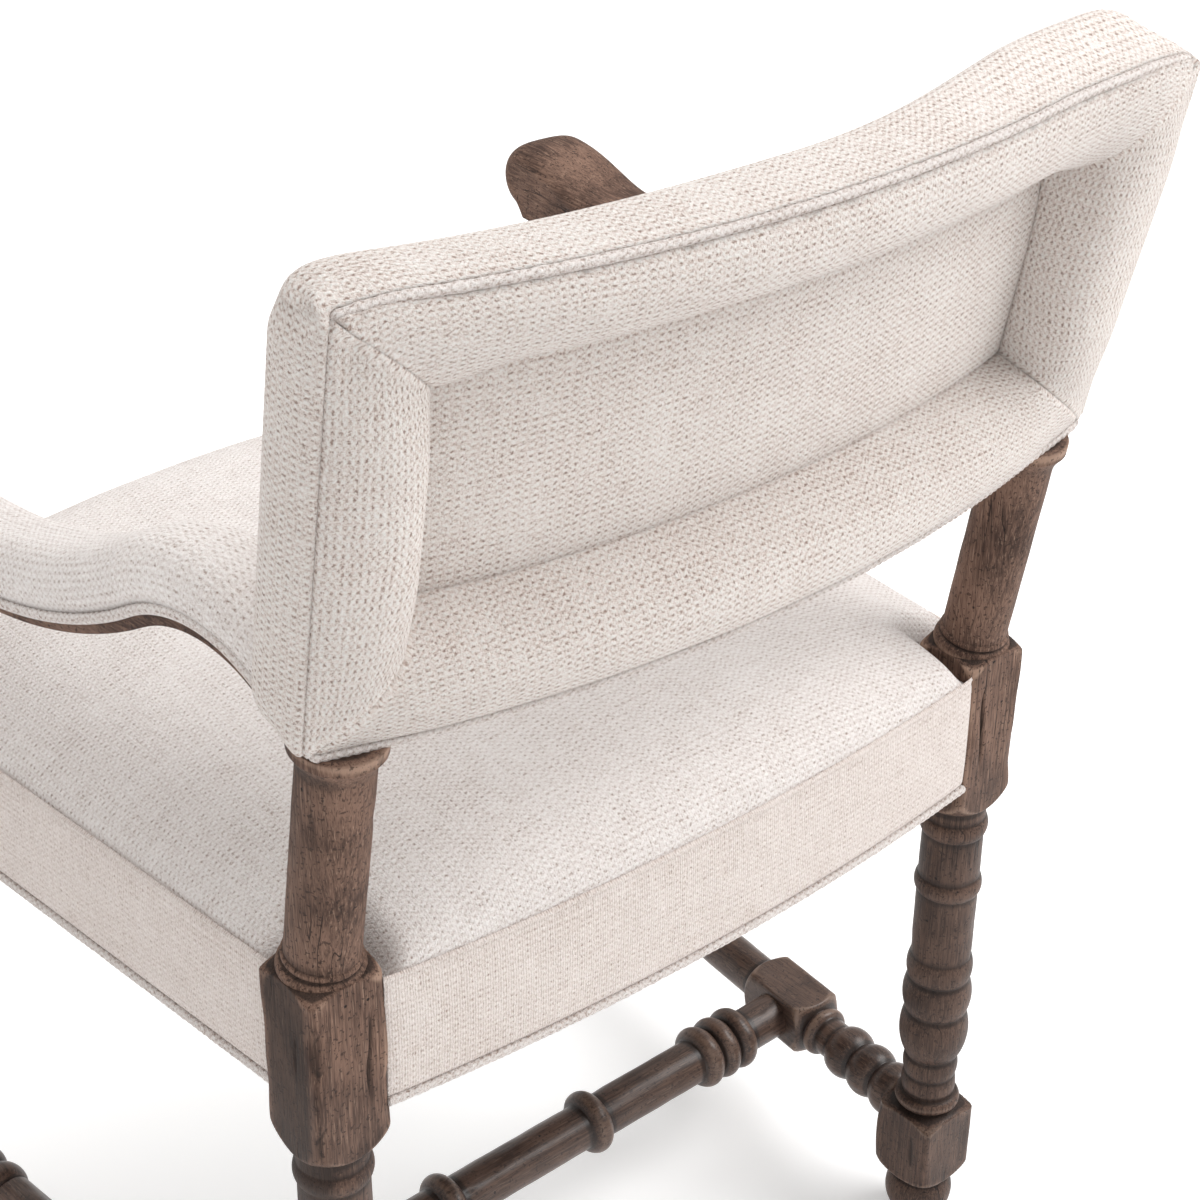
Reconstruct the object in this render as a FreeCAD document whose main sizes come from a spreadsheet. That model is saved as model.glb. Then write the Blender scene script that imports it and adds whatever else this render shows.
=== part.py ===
import FreeCAD, Part
import math
import os
import re
import Sketcher
from FreeCAD import Placement, Rotation, Vector

# A dining armchair: turned wooden legs and stretchers, scrolled arms with upholstered pads, a tight
# crowned seat and a low curved back whose rear is a padded mitred border round a sunk panel.
# The sitter faces -Y, +X is the sitter's left and +Z is up. The origin is on the floor, at the
# middle of the chair's plan box.

# Driving sizes, in millimetres, and in degrees for the angles.
SIZES = {
    # Where the legs stand: half spacing at the back, how much wider the front is, and the depth.
    "rear_leg_x": 260,
    "rear_leg_y": 203.08,
    "leg_splay": 43.5,
    "leg_spacing": 456,
    # Square blocks left on the turned legs.
    "block_size": 50.8,
    "arris_ease": 0.7,
    "block_top": 500,
    "upper_block": 108,
    "lower_block": 48,
    "block_bevel": 6,
    "upper_shoulder": 18,
    "foot_shoulder": 12,
    "shoulder_radius": 30.5,
    "post_seat_radius": 26,
    # Foot under the lower block, and the glide nailed into it.
    "foot_length": 36,
    "foot_radius": 24.5,
    "foot_neck": 17,
    "glide_height": 6,
    "glide_radius": 14,
    # Beads and rings between the two blocks, from the bottom up.
    "collar_length": 11,
    "collar_radius": 23.4,
    "small_ring_length": 17,
    "small_ring_radius": 19.8,
    "small_neck": 18.2,
    "ball_length": 41,
    "upper_ball_length": 30,
    "ball_radius": 24.6,
    "groove_radius": 21.6,
    "wide_ring_length": 20,
    "ring_length": 14,
    "ring_radius": 23.5,
    "shank_radius": 21.3,
    "upper_shank": 36,
    "top_shank": 10,
    # Raked round post between the seat and the back.
    "back_rake": 9.6,
    "post_sink": 10,
    "post_radius": 21.3,
    "base_ring_length": 12,
    "base_ring_radius": 25.2,
    "fillet_ring_length": 5,
    "fillet_ring_radius": 22.8,
    "flare_length": 14,
    "flare_waist": 22.6,
    "post_cap": 7,
    "post_cap_radius": 26.5,
    # Arm post that carries on up from the front leg.
    "arm_seat": 144,
    "vase_radius": 23,
    "vase_neck": 16.5,
    "vase_foot_step": 4,
    "neck_ring_length": 12,
    "neck_ring_radius": 21,
    "arm_cap": 12,
    "arm_cap_radius": 18,
    "arm_cap_cove": 2,
    "arm_tenon_radius": 10,
    "arm_tenon_length": 22,
    # Turned stretchers: an H with its bar behind the middle.
    "stretcher_height": 91,
    "cross_back": 155,
    "tenon_radius": 9,
    "tenon_length": 16,
    "scribe": 3,
    "shaft_radius": 17,
    "bead_length": 25,
    "bead_radius": 20.5,
    "bead_neck": 15,
    "stretcher_collar": 10,
    "stretcher_collar_radius": 19.5,
    "cross_block_size": 42,
    "cross_block_length": 54,
    "cross_shoulder": 8,
    "cross_ring_length": 17,
    "cross_ring_radius": 24,
    "cross_ring_place": 66.5,
    "ring_group_place": 195,
    # Seat frame under the upholstery.
    "rail_thickness": 24,
    "rail_height": 68,
    "rail_drop": 28,
    "rail_inset": 8,
    "rail_tenon": 10,
    "rail_tenon_height": 44,
    "rail_tenon_length": 20,
    "corner_reach": 85,
    "corner_toe": 25,
    "corner_height": 30,
    "corner_lift": 10,
    "web_width": 50,
    "web_thickness": 2,
    "web_pitch": 105,
    # Seat upholstery: how far it stands outside the legs' axes, bowed ends, side band and crown.
    "rear_overhang": 15.5,
    "front_overhang": 2.3,
    "rear_reach": 40,
    "rear_bow": 1800,
    "front_reach": 66,
    "front_bow": 940,
    "crease_drop": 8,
    "seat_crown": 36,
    "seat_edge_rise": 1,
    "band_thickness": 3,
    "band_bottom": 98,
    "welt_height": 6,
    "welt_proud": 1,
    "dust_cover": 1.5,
    # Curved back: measured up the raked post, and rearward from the post's axis.
    "back_bottom": 164,
    "back_height": 259,
    "back_overhang": 28,
    "back_radius": 1080,
    "back_rear": 45,
    "back_thickness": 50,
    "back_crown": 13,
    "back_edge_round": 15,
    "back_wall": 5,
    "back_well": 38,
    "border_width": 60,
    "border_roll": 14,
    "border_drop": 24,
    "border_seam": 5,
    "border_crown": 6,
    "panel_sink": 30,
    "panel_thickness": 6,
    "back_welt_radius": 2.6,
    "back_welt_sink": 1,
    "stile_width": 28,
    "stile_front": 15,
    "stile_rear": 6,
    "back_rail_height": 28,
    "back_rail_front": 28,
    "back_rail_rear": 8,
    "back_tenon": 9,
    "back_tenon_front": 6,
    # Arm: an S in side view, measured forward and up from the rear post at the block's top.
    "arm_crest_at": 57,
    "arm_crest": 201,
    "arm_rear_radius": 96,
    "arm_rear_angle": 36,
    "arm_fall_angle": 31.4,
    "arm_lift_angle": 12.5,
    "arm_rail_depth": 11,
    "arm_lap": 10,
    "arm_rail_width": 46,
    "arm_tail_width": 18,
    "arm_tail_depth": 11,
    "arm_tail_reach": 12,
    "hand_length": 107.7,
    "hand_width": 60,
    "hand_round": 16,
    "hand_crest": 197,
    "hand_nose": 53,
    "hand_roll": 26,
    "hand_tuck": 75,
    "hand_dip": 15,
    "hand_dip_at": 55,
    "hand_seat": 20,
    "arm_welt_width": 60,
    "arm_welt_height": 3,
    "arm_welt_hang": 3.5,
    "arm_welt_bulge": 2,
    "pad_width": 56,
    "pad_side": 12,
    "pad_height": 34,
    # Clearances: wood in wood, and round anything soft.
    "joint_gap": 0.2,
    "soft_gap": 0.3,
}

# Sizes that follow from the driving ones.
DERIVED = {
    "front_leg_x": "rear_leg_x + leg_splay",
    "front_leg_y": "rear_leg_y - leg_spacing",
    "leg_flare": "atan((front_leg_x - rear_leg_x) / leg_spacing)",
    "side_length": "leg_spacing / cos(leg_flare)",
    "arris_radius": "block_size / sqrt(2) - arris_ease",
    "foot_top": "glide_height + foot_length + foot_shoulder + lower_block + block_bevel",
    "balls_top": "foot_top + collar_length + 2 * small_ring_length + ball_length + upper_ball_length",
    "rings_top": "balls_top + wide_ring_length + 2 * ring_length + upper_shank + top_shank",
    "lower_shank": "block_top - upper_block - upper_shoulder - rings_top",
    "rail_top": "block_top - rail_drop",
    "crease": "block_top - crease_drop",
    "seat_bottom": "block_top - band_bottom",
    "seat_half_rear": "rear_leg_x + rear_overhang",
    "seat_half_front": "front_leg_x + front_overhang",
    "cross_y": "rear_leg_y - cross_back",
    "cross_x": "rear_leg_x + (front_leg_x - rear_leg_x) * cross_back / leg_spacing",
    "back_half_width": "rear_leg_x + back_overhang",
    "back_top": "back_bottom + back_height",
    "back_axis": "back_rear - back_radius",
    "arm_run": "side_length - hand_length - arm_crest_at - arm_rear_radius * sin(arm_fall_angle)",
    "arm_front_radius": "arm_run / (sin(arm_fall_angle) + sin(arm_lift_angle))",
    "arm_root": "arm_crest - arm_rear_radius * (1 - cos(arm_rear_angle))",
    "stile_face": "arm_root * tan(back_rake) - stile_front / cos(back_rake)",
}

doc = FreeCAD.newDocument("dining_armchair")
sheet = doc.addObject("Spreadsheet::Sheet", "sizes")
for row, (alias, amount) in enumerate(SIZES.items(), 1):
    sheet.set(f"A{row}", alias)
    sheet.set(f"B{row}", str(amount))
    sheet.setAlias(f"B{row}", alias)
sheet.recompute()
for row, (alias, formula) in enumerate(DERIVED.items(), len(SIZES) + 1):
    sheet.set(f"A{row}", alias)
    sheet.set(f"B{row}", f"={formula}")
    sheet.setAlias(f"B{row}", alias)
    sheet.recompute()
WORDS = set(SIZES) | set(DERIVED)
WORKED_CELL = "D1"
STUFFING = 8
BACK_STATIONS = 9
SEAT_STATIONS = 11
HAND_STATIONS = 9
HAND_EDGE = 3
ROLL_CREST_SHARE = 0.4
ROLL_SIDE_SHARE = 0.3
ROLL_FALL_SHARE = 0.4
nodes = []


# Formulas written in the sheet's own words.

def bound(formula):
    """The formula with every size named as a cell of the sheet."""
    return re.sub(r"[a-z_]+", lambda word: f"sizes.{word[0]}" if word[0] in WORDS else word[0], formula)


def number(formula):
    """The formula's value now, worked out by the sheet."""
    sheet.set(WORKED_CELL, f"={formula}")
    sheet.recompute()
    amount = sheet.get(WORKED_CELL)
    return float(getattr(amount, "Value", amount))


def bind(thing, **formulas):
    """Bind properties of an object to formulas."""
    for name, formula in formulas.items():
        thing.setExpression(name, bound(formula))


def put(thing, x="0", y="0", z="0"):
    """Bind where an object stands."""
    for axis, formula in zip("xyz", (x, y, z)):
        thing.setExpression(f"Placement.Base.{axis}", bound(formula))
    return thing


def turn(thing, axis, formula):
    """Bind how far an object turns about an axis."""
    thing.Placement = Placement(Vector(), Rotation(Vector(*axis), 45))
    thing.setExpression("Placement.Rotation.Angle", bound(formula))
    return thing


def rake(thing, x="0", out="0", up="0"):
    """Stand an object in the back's own frame: leaning with the posts, from the rear legs' block tops."""
    turn(thing, (-1, 0, 0), "back_rake")
    return put(
        thing,
        x,
        f"rear_leg_y + ({out}) * cos(back_rake) + ({up}) * sin(back_rake)",
        f"block_top + ({up}) * cos(back_rake) - ({out}) * sin(back_rake)",
    )


# Solids and the ways they are joined or cut.

def box(name, corner, size):
    """A block from its low corner and its three sizes."""
    thing = doc.addObject("Part::Box", name)
    bind(thing, Length=size[0], Width=size[1], Height=size[2])
    return put(thing, *corner)


def raked_box(name, corner, size):
    """A block that leans with the back."""
    thing = doc.addObject("Part::Box", name)
    bind(thing, Length=size[0], Width=size[1], Height=size[2])
    return rake(thing, *corner)


def cylinder(name, radius, height):
    """An upright cylinder, placed by its caller."""
    thing = doc.addObject("Part::Cylinder", name)
    bind(thing, Radius=radius, Height=height)
    return thing


def wedge(name, near, far, front, back, low, high):
    """A block whose left and right faces shift from (near) at the front to (far) at the back."""
    thing = doc.addObject("Part::Wedge", name)
    bind(thing, Xmin=near[0], Xmax=near[1], X2min=far[0], X2max=far[1])
    bind(thing, Ymin=front, Ymax=back, Zmin=low, Zmax=high, Z2min=low, Z2max=high)
    return thing


def fuse(name, *things):
    """Several solids as one."""
    thing = doc.addObject("Part::MultiFuse", name)
    thing.Shapes = list(things)
    thing.Refine = True
    return thing


def common(name, *things):
    """What several solids share."""
    thing = doc.addObject("Part::MultiCommon", name)
    thing.Shapes = list(things)
    return thing


def cut(name, base, *tools):
    """A solid with others taken out of it."""
    thing = doc.addObject("Part::Cut", name)
    thing.Base = base
    thing.Tool = tools[0] if len(tools) == 1 else fuse(f"{name}_tools", *tools)
    return thing


def mirror(name, source):
    """The same piece on the sitter's other side."""
    thing = doc.addObject("Part::Mirroring", name)
    thing.Source = source
    thing.Normal = Vector(1, 0, 0)
    return thing


def swept_levels(count):
    """Levels from 0 to 1, closer together towards both ends."""
    return [(1 - math.cos(math.pi * index / (count - 1))) / 2 for index in range(count)]


def fullness(level):
    """How far a stuffed edge has swelled out, from 0 at either end to 1 in the middle."""
    return math.sqrt(1 - (2 * level - 1) ** STUFFING)


def formed(name, shape, placement=Placement()):
    """A free-form solid worked out from the sheet's numbers."""
    if len(shape.Solids) != 1 or not shape.isValid() or shape.Volume < 1:
        raise RuntimeError(f"{name} is not one good solid")
    thing = doc.addObject("Part::Feature", name)
    thing.Shape = shape
    thing.Placement = placement
    return thing


def node(label, thing):
    """Keep an object as a finished sub-part."""
    thing.Label = label
    nodes.append(thing)
    return thing


def pair(label, left):
    """Keep a left-hand sub-part and its mirror image."""
    node(f"{label}_left", left)
    return left, node(f"{label}_right", mirror(f"{label}_mirrored", left))


def grown(corner, size, room):
    """The low corner and sizes of a block with room added all round."""
    return [f"{place} - {room}" for place in corner], [f"{length} + 2 * {room}" for length in size]


def tenon(name, corner, size):
    """A tenon block and the mortise block that takes it with a clearance all round."""
    return box(name, corner, size), box(f"{name}_mortise", *grown(corner, size, "joint_gap"))


# Sketched pieces.

def outline(body, plane, corners):
    """Draw a closed outline, every corner bound to its formulas.

    A corner is (x, y), or (x, y, (x, y)) where the edge that leaves it is an arc through that point.
    """
    sketch = body.newObject("Sketcher::SketchObject", f"{body.Name}_outline")
    roles = {feature.Role: feature for feature in body.Origin.OriginFeatures}
    sketch.AttachmentSupport = [(roles[f"{plane}_Plane"], "")]
    sketch.MapMode = "FlatFace"
    places = [Vector(number(corner[0]), number(corner[1])) for corner in corners]
    ends = []
    rules = []
    formulas = []

    def fix(geometry, point, x, y, place):
        for kind, formula, amount in (("DistanceX", x, place.x), ("DistanceY", y, place.y)):
            rules.append(Sketcher.Constraint(kind, -1, 1, geometry, point, amount))
            formulas.append(formula)

    for index, corner in enumerate(corners):
        start = places[index]
        stop = places[(index + 1) % len(places)]
        if len(corner) == 3:
            via = Vector(number(corner[2][0]), number(corner[2][1]))
            edge = sketch.addGeometry(Part.Arc(start, via, stop), False)
            mark = sketch.addGeometry(Part.Point(via), True)
            rules.append(Sketcher.Constraint("PointOnObject", mark, 1, edge))
            formulas.append(None)
            fix(mark, 1, *corner[2], via)
        else:
            edge = sketch.addGeometry(Part.LineSegment(start, stop), False)
        first = 1 if sketch.getPoint(edge, 1).distanceToPoint(start) < 1e-6 else 2
        ends.append((edge, first, 3 - first))
    for index, corner in enumerate(corners):
        edge, first, last = ends[index]
        following, its_first, its_last = ends[(index + 1) % len(ends)]
        rules.append(Sketcher.Constraint("Coincident", edge, last, following, its_first))
        formulas.append(None)
        fix(edge, first, corner[0], corner[1], places[index])
    sketch.addConstraint(rules)
    for index, formula in enumerate(formulas):
        if formula:
            sketch.setExpression(f"Constraints[{index}]", bound(formula))
    return sketch


def turned(name, plane, start, radius, cuts):
    """A piece turned on a lathe about its sketch's upright axis.

    It starts at a height and radius. Each cut is (length, radius, crest): the run to the next station,
    the radius there, and the crest of a bead or the root of a cove halfway, or None for a straight run.
    """
    height = start
    corners = [("0", start)]
    for length, next_radius, crest in cuts:
        middle = f"{height} + ({length}) / 2"
        corners.append((radius, height, (crest, middle)) if crest else (radius, height))
        height = f"{height} + {length}"
        radius = next_radius
    corners.append((radius, height))
    corners.append(("0", height))
    body = doc.addObject("PartDesign::Body", name)
    sketch = outline(body, plane, corners)
    spin = body.newObject("PartDesign::Revolution", f"{name}_turning")
    spin.Profile = sketch
    spin.ReferenceAxis = (sketch, ["V_Axis"])
    spin.Angle = 360
    return body


def padded(name, plane, corners, length):
    """A sketched outline given a thickness to both sides of its plane."""
    body = doc.addObject("PartDesign::Body", name)
    solid = body.newObject("PartDesign::Pad", f"{name}_pad")
    solid.Profile = outline(body, plane, corners)
    solid.Midplane = True
    bind(solid, Length=length)
    return body


def swung(name, corners, angle):
    """A sketched section swung round the back's own axis, to both sides of its plane."""
    body = doc.addObject("PartDesign::Body", name)
    sketch = outline(body, "YZ", corners)
    spin = body.newObject("PartDesign::Revolution", f"{name}_swing")
    spin.Profile = sketch
    spin.ReferenceAxis = (sketch, ["V_Axis"])
    spin.Midplane = True
    bind(spin, Angle=angle)
    return rake(body, "0", "back_axis", "0")


# Legs: square stock turned between the blocks that stay square.

LEG_CUTS = [
    ("foot_length", "foot_neck", "foot_radius"),
    ("foot_shoulder", "arris_radius", "shoulder_radius"),
    ("lower_block", "arris_radius", None),
    ("block_bevel", "small_neck", None),
    ("collar_length", "small_neck", "collar_radius"),
    ("small_ring_length", "small_neck", "small_ring_radius"),
    ("small_ring_length", "small_neck", "small_ring_radius"),
    ("ball_length", "groove_radius", "ball_radius"),
    ("upper_ball_length", "groove_radius", "ball_radius"),
    ("wide_ring_length", "shank_radius", "ring_radius"),
    ("lower_shank", "shank_radius", None),
    ("ring_length", "shank_radius", "ring_radius"),
    ("upper_shank", "shank_radius", None),
    ("ring_length", "shank_radius", "ring_radius"),
    ("top_shank", "shank_radius", None),
    ("upper_shoulder", "arris_radius", "shoulder_radius"),
    ("upper_block - block_bevel", "arris_radius", None),
    ("block_bevel", "post_seat_radius", None),
]
ARM_POST_CUTS = [
    ("0", "vase_neck + vase_foot_step", None),
    ("base_ring_length", "vase_neck", "base_ring_radius"),
    ("arm_seat - base_ring_length - neck_ring_length - arm_cap", "vase_neck", "vase_radius"),
    ("neck_ring_length", "vase_neck", "neck_ring_radius"),
    ("arm_cap", "arm_cap_radius", "vase_neck + arm_cap_cove"),
    ("0", "arm_tenon_radius", None),
    ("arm_tenon_length", "arm_tenon_radius", None),
]
post_shank = ("back_bottom - soft_gap + post_sink / 2 - base_ring_length - fillet_ring_length"
              " - flare_length - post_cap")
POST_CUTS = [
    ("post_sink / 2", "post_radius", None),
    ("base_ring_length", "post_radius", "base_ring_radius"),
    ("fillet_ring_length", "post_radius", "fillet_ring_radius"),
    (post_shank, "post_radius", None),
    ("flare_length", "post_cap_radius", "flare_waist"),
    ("post_cap", "post_cap_radius", None),
]


def leg_stock(name, x, y, height):
    """The square stock a leg is turned from."""
    corner = (f"{x} - block_size / 2", f"{y} - block_size / 2", "glide_height")
    return box(name, corner, ("block_size", "block_size", f"{height} - glide_height"))


def leg_turning(name, x, y, more):
    """What the lathe leaves of a leg, from the glide up."""
    return put(turned(name, "XZ", "glide_height", "foot_neck", LEG_CUTS + more), x, y)


rear_stock = leg_stock("rear_stock", "rear_leg_x", "rear_leg_y", "block_top")
rear_lower = common("rear_lower", rear_stock, leg_turning("rear_turning", "rear_leg_x", "rear_leg_y", []))
rear_post = rake(turned("rear_post", "XZ", "-post_sink", "post_radius", POST_CUTS), "rear_leg_x")
stile_top = "back_top - back_wall - soft_gap"
stile_foot = "back_bottom - post_cap - flare_length / 2"
stile_corner = ("rear_leg_x - stile_width / 2", "-stile_front", stile_foot)
stile_size = ("stile_width", "stile_front + stile_rear", f"{stile_top} - ({stile_foot})")
stile = raked_box("stile", stile_corner, stile_size)
rear_blank = fuse("rear_blank", rear_lower, rear_post, stile)
front_height = "block_top + arm_seat + arm_tenon_length"
front_stock = leg_stock("front_stock", "front_leg_x", "front_leg_y", front_height)
front_turning = leg_turning("front_turning", "front_leg_x", "front_leg_y", ARM_POST_CUTS)
front_blank = common("front_blank", front_stock, front_turning)

# Seat rails, tenoned into the leg blocks. The side rails stand one web higher, to carry the cross webs.

rail_skin = "band_thickness + soft_gap"
rail_low = "rail_top - rail_height"
tenon_low = "rail_top - rail_height / 2 - rail_tenon_height / 2"


def bowed(name, inward, low, height, rear):
    """A disc whose rim is the bow of the seat's rear or front edge, some way inside it."""
    disc = cylinder(name, f"rear_bow - ({inward})" if rear else f"front_bow - ({inward})", height)
    if rear:
        return put(disc, "0", "rear_leg_y + rear_reach - rear_bow", low)
    return put(disc, "0", "front_leg_y - front_reach + front_bow", low)


def end_rail(name, leg_x, rear):
    """The rear or front seat rail, its mortise tool and the tenons on both its ends."""
    half = f"({leg_x} - block_size / 2)"
    start = "rear_leg_y - rail_inset" if rear else "front_leg_y - front_reach"
    depth = "rear_reach + rail_inset" if rear else "front_reach + rail_inset"
    blank = box(f"{name}_blank", (f"-{half}", start, rail_low), (f"2 * {half}", depth, "rail_height"))
    rim = bowed(f"{name}_rim", rail_skin, rail_low, "rail_height", rear)
    middle = "rear_leg_y + rail_inset" if rear else "front_leg_y - rail_inset"
    reach = f"{half} + rail_tenon_length"
    peg, mortise = tenon(
        f"{name}_tenon",
        (f"-({reach})", f"{middle} - rail_tenon / 2", tenon_low),
        (f"2 * ({reach})", "rail_tenon", "rail_tenon_height"),
    )
    return fuse(name, common(f"{name}_sawn", blank, rim), peg), mortise


rear_rail, rear_rail_mortise = end_rail("seat_rail_rear", "rear_leg_x", True)
front_rail, front_rail_mortise = end_rail("seat_rail_front", "front_leg_x", False)
side_front = "front_leg_y + block_size / 2"
side_rear = "rear_leg_y - block_size / 2"
side_rail_top = "rail_top + web_thickness"
side_rail_blank = wedge(
    "side_rail_blank",
    (f"seat_half_front - ({rail_skin}) - rail_thickness", f"seat_half_front - ({rail_skin})"),
    (f"seat_half_rear - ({rail_skin}) - rail_thickness", f"seat_half_rear - ({rail_skin})"),
    side_front, side_rear, rail_low, side_rail_top,
)


def side_tenon(name, half, face):
    """A tenon of the side rail, running both ways from the face of a leg's block."""
    corner = (
        f"{half} - ({rail_skin}) - rail_thickness / 2 - rail_tenon / 2",
        f"{face} - rail_tenon_length",
        tenon_low,
    )
    return tenon(name, corner, ("rail_tenon", "2 * rail_tenon_length", "rail_tenon_height"))


side_rear_tenon, side_rear_mortise = side_tenon("side_rear_tenon", "seat_half_rear", side_rear)
side_front_tenon, side_front_mortise = side_tenon("side_front_tenon", "seat_half_front", side_front)
side_rail = fuse("side_rail", side_rail_blank, side_rear_tenon, side_front_tenon)

# Stretchers: two turned sides between the legs and one turned bar let into their square blocks.

end_run = "block_size / 2 - scribe"
crossing = "side_length - cross_back / cos(leg_flare)"
front_shaft = f"{crossing} - cross_block_length / 2 - cross_shoulder - 3 * bead_length - ({end_run})"
rear_neck = (f"side_length - ({crossing}) - cross_block_length / 2 - cross_shoulder - stretcher_collar"
             f" - 3 * bead_length - ({end_run})")
stock_corner = "cross_block_size / sqrt(2) - arris_ease"
bead = ("bead_length", "bead_neck", "bead_radius")
ring = ("cross_ring_length", "shaft_radius", "cross_ring_radius")
SIDE_CUTS = [
    ("tenon_length - scribe", "tenon_radius", None),
    ("0", "bead_neck", None),
    bead, bead, bead,
    ("0", "shaft_radius", None),
    (front_shaft, "shaft_radius", None),
    ("cross_shoulder", stock_corner, None),
    ("cross_block_length", stock_corner, None),
    ("cross_shoulder", "bead_neck", None),
    ("stretcher_collar", "bead_neck", "stretcher_collar_radius"),
    (rear_neck, "bead_neck", None),
    bead, bead, bead,
    ("0", "tenon_radius", None),
    ("tenon_length - scribe", "tenon_radius", None),
]


def along_side(thing):
    """Lay a piece from the front leg's axis to the rear leg's, at the height of the stretchers."""
    return put(turn(thing, (0, 0, 1), "leg_flare"), "front_leg_x", "front_leg_y", "stretcher_height")


side_start = "block_size / 2 - tenon_length"
side_turning = along_side(turned("side_turning", "XY", side_start, "tenon_radius", SIDE_CUTS))
side_stock = along_side(padded("side_stock", "YZ", [
    ("0", "-cross_block_size / 2"),
    ("side_length", "-cross_block_size / 2"),
    ("side_length", "cross_block_size / 2"),
    ("0", "cross_block_size / 2"),
], "cross_block_size"))
bore = "tenon_radius + joint_gap"
side_bore = along_side(turned("side_bore", "XY", "block_size / 2 - tenon_length - joint_gap", bore, [
    ("side_length - block_size + 2 * tenon_length + 2 * joint_gap", bore, None),
]))
cross_face = "cross_x - cross_block_size / 2"
cross_end = f"({cross_face} + tenon_length)"
CROSS_CUTS = [
    ("tenon_length - scribe", "tenon_radius", None),
    ("0", "shaft_radius", None),
    (f"{cross_face} + scribe - ring_group_place - 1.5 * cross_ring_length", "shaft_radius", None),
    ring, ring, ring,
    ("ring_group_place - 2 * cross_ring_length - cross_ring_place", "shaft_radius", None),
    ring,
]
cross_half = CROSS_CUTS + [("2 * cross_ring_place - cross_ring_length", "shaft_radius", None)]
cross_back_half = [
    ring,
    CROSS_CUTS[6],
    ring, ring, ring,
    CROSS_CUTS[2],
    ("0", "tenon_radius", None),
    CROSS_CUTS[0],
]
cross_turning = turned("cross_turning", "XY", f"-{cross_end}", "tenon_radius", cross_half + cross_back_half)
cross_turning.Placement = Placement(Vector(), Rotation(Vector(0, 0, 1), 90))
put(cross_turning, "0", "cross_y", "stretcher_height")
cross_bore = cylinder("cross_bore", bore, f"2 * ({cross_end} + joint_gap)")
cross_bore.Placement = Placement(Vector(), Rotation(Vector(0, 1, 0), 90))
put(cross_bore, f"-({cross_end} + joint_gap)", "cross_y", "stretcher_height")

# Back frame: two sawn rails tenoned into the stiles.

rail_half = "(rear_leg_x - stile_width / 2)"


def back_disc(name, depth):
    """A raked disc as tall as the back, its rim a depth inside the back's rear face."""
    disc = cylinder(name, f"back_radius - ({depth})", "back_height")
    return rake(disc, "0", "back_axis", "back_bottom")


def back_slice(name, half, low, high, front, rear):
    """A curved slab of the back, between two depths inside its rear face."""
    plank = raked_box(
        f"{name}_plank",
        (f"-({half})", "-back_half_width", low),
        (f"2 * ({half})", "2 * back_half_width", f"{high} - ({low})"),
    )
    sawn = common(f"{name}_sawn", plank, back_disc(f"{name}_rear", rear))
    return cut(name, sawn, back_disc(f"{name}_front", front))


def back_rail(name, low):
    """A back rail and its mortise tool."""
    high = f"{low} + back_rail_height"
    sawn = back_slice(f"{name}_bow", rail_half, low, high, "back_rail_front", "back_rail_rear")
    reach = f"({rail_half} + back_tenon)"
    size = (f"2 * {reach}", "back_tenon", "back_rail_height / 2")
    corner = (f"-{reach}", "-back_tenon_front", f"{low} + back_rail_height / 4")
    inner = f"({rail_half} - back_tenon)"
    middle = raked_box(f"{name}_middle", (f"-{inner}", *corner[1:]), (f"2 * {inner}", *size[1:]))
    ends = cut(f"{name}_ends", raked_box(f"{name}_tenon", corner, size), middle)
    return fuse(name, sawn, ends), raked_box(f"{name}_mortise", *grown(corner, size, "joint_gap"))


low_foot = "(back_bottom + back_wall + soft_gap)"
high_foot = "(back_top - back_wall - soft_gap - back_rail_height)"
low_rail, low_rail_mortise = back_rail("back_rail_bottom", low_foot)
high_rail, high_rail_mortise = back_rail("back_rail_top", high_foot)

# Arms: a rail in an S that ends in a scrolled hand, worked out in the arm's own upright plane.

rear_angle = math.radians(number("arm_rear_angle"))
fall_angle = math.radians(number("arm_fall_angle"))
lift_angle = math.radians(number("arm_lift_angle"))
rear_radius = number("arm_rear_radius")
front_radius = number("arm_front_radius")
crest_at = number("arm_crest_at")
crest_low = number("arm_crest") - rear_radius
post_at = number("side_length")
seat_height = number("arm_seat")
arm_frame = Placement(
    Vector(number("rear_leg_x"), number("rear_leg_y"), number("block_top")),
    Rotation(Vector(0, 0, 1), number("leg_flare")),
)


def arm_point(forward, up, across=0):
    """A point of the arm's plane, forward of the rear post and up from the block's top."""
    return Vector(across, -forward, up)


def rear_arc_point(angle, lift, across=0):
    """A point over the arm's rear arc, a lift above the rail's top."""
    reach = rear_radius + lift
    return arm_point(crest_at + reach * math.sin(angle), crest_low + reach * math.cos(angle), across)


def front_arc_point(angle, lift):
    """A point over the arm's front arc, whose centre is above the rail."""
    span = rear_radius + front_radius
    reach = front_radius - lift
    forward = crest_at + span * math.sin(fall_angle) - reach * math.sin(angle)
    return arm_point(forward, crest_low + span * math.cos(fall_angle) - reach * math.cos(angle))


def arm_arcs(lift, short=0):
    """The two tangent arcs that run along the arm, a lift above the rail's top, ending a bit short."""
    turning = (fall_angle - rear_angle) / 2
    front_end = short / front_radius - lift_angle
    rising = (fall_angle + front_end) / 2
    rear_arc = [rear_arc_point(angle, lift) for angle in (-rear_angle, turning, fall_angle)]
    front_arc = [front_arc_point(angle, lift) for angle in (fall_angle, rising, front_end)]
    return [Part.Arc(*rear_arc), Part.Arc(*front_arc)]


def across_arm(edges, width):
    """A closed side view of the arm given its width."""
    face = Part.Face(Part.Wire(Part.__sortEdges__([edge.toShape() for edge in edges])))
    face.translate(Vector(-width / 2, 0, 0))
    return face.extrude(Vector(width, 0, 0))


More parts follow.
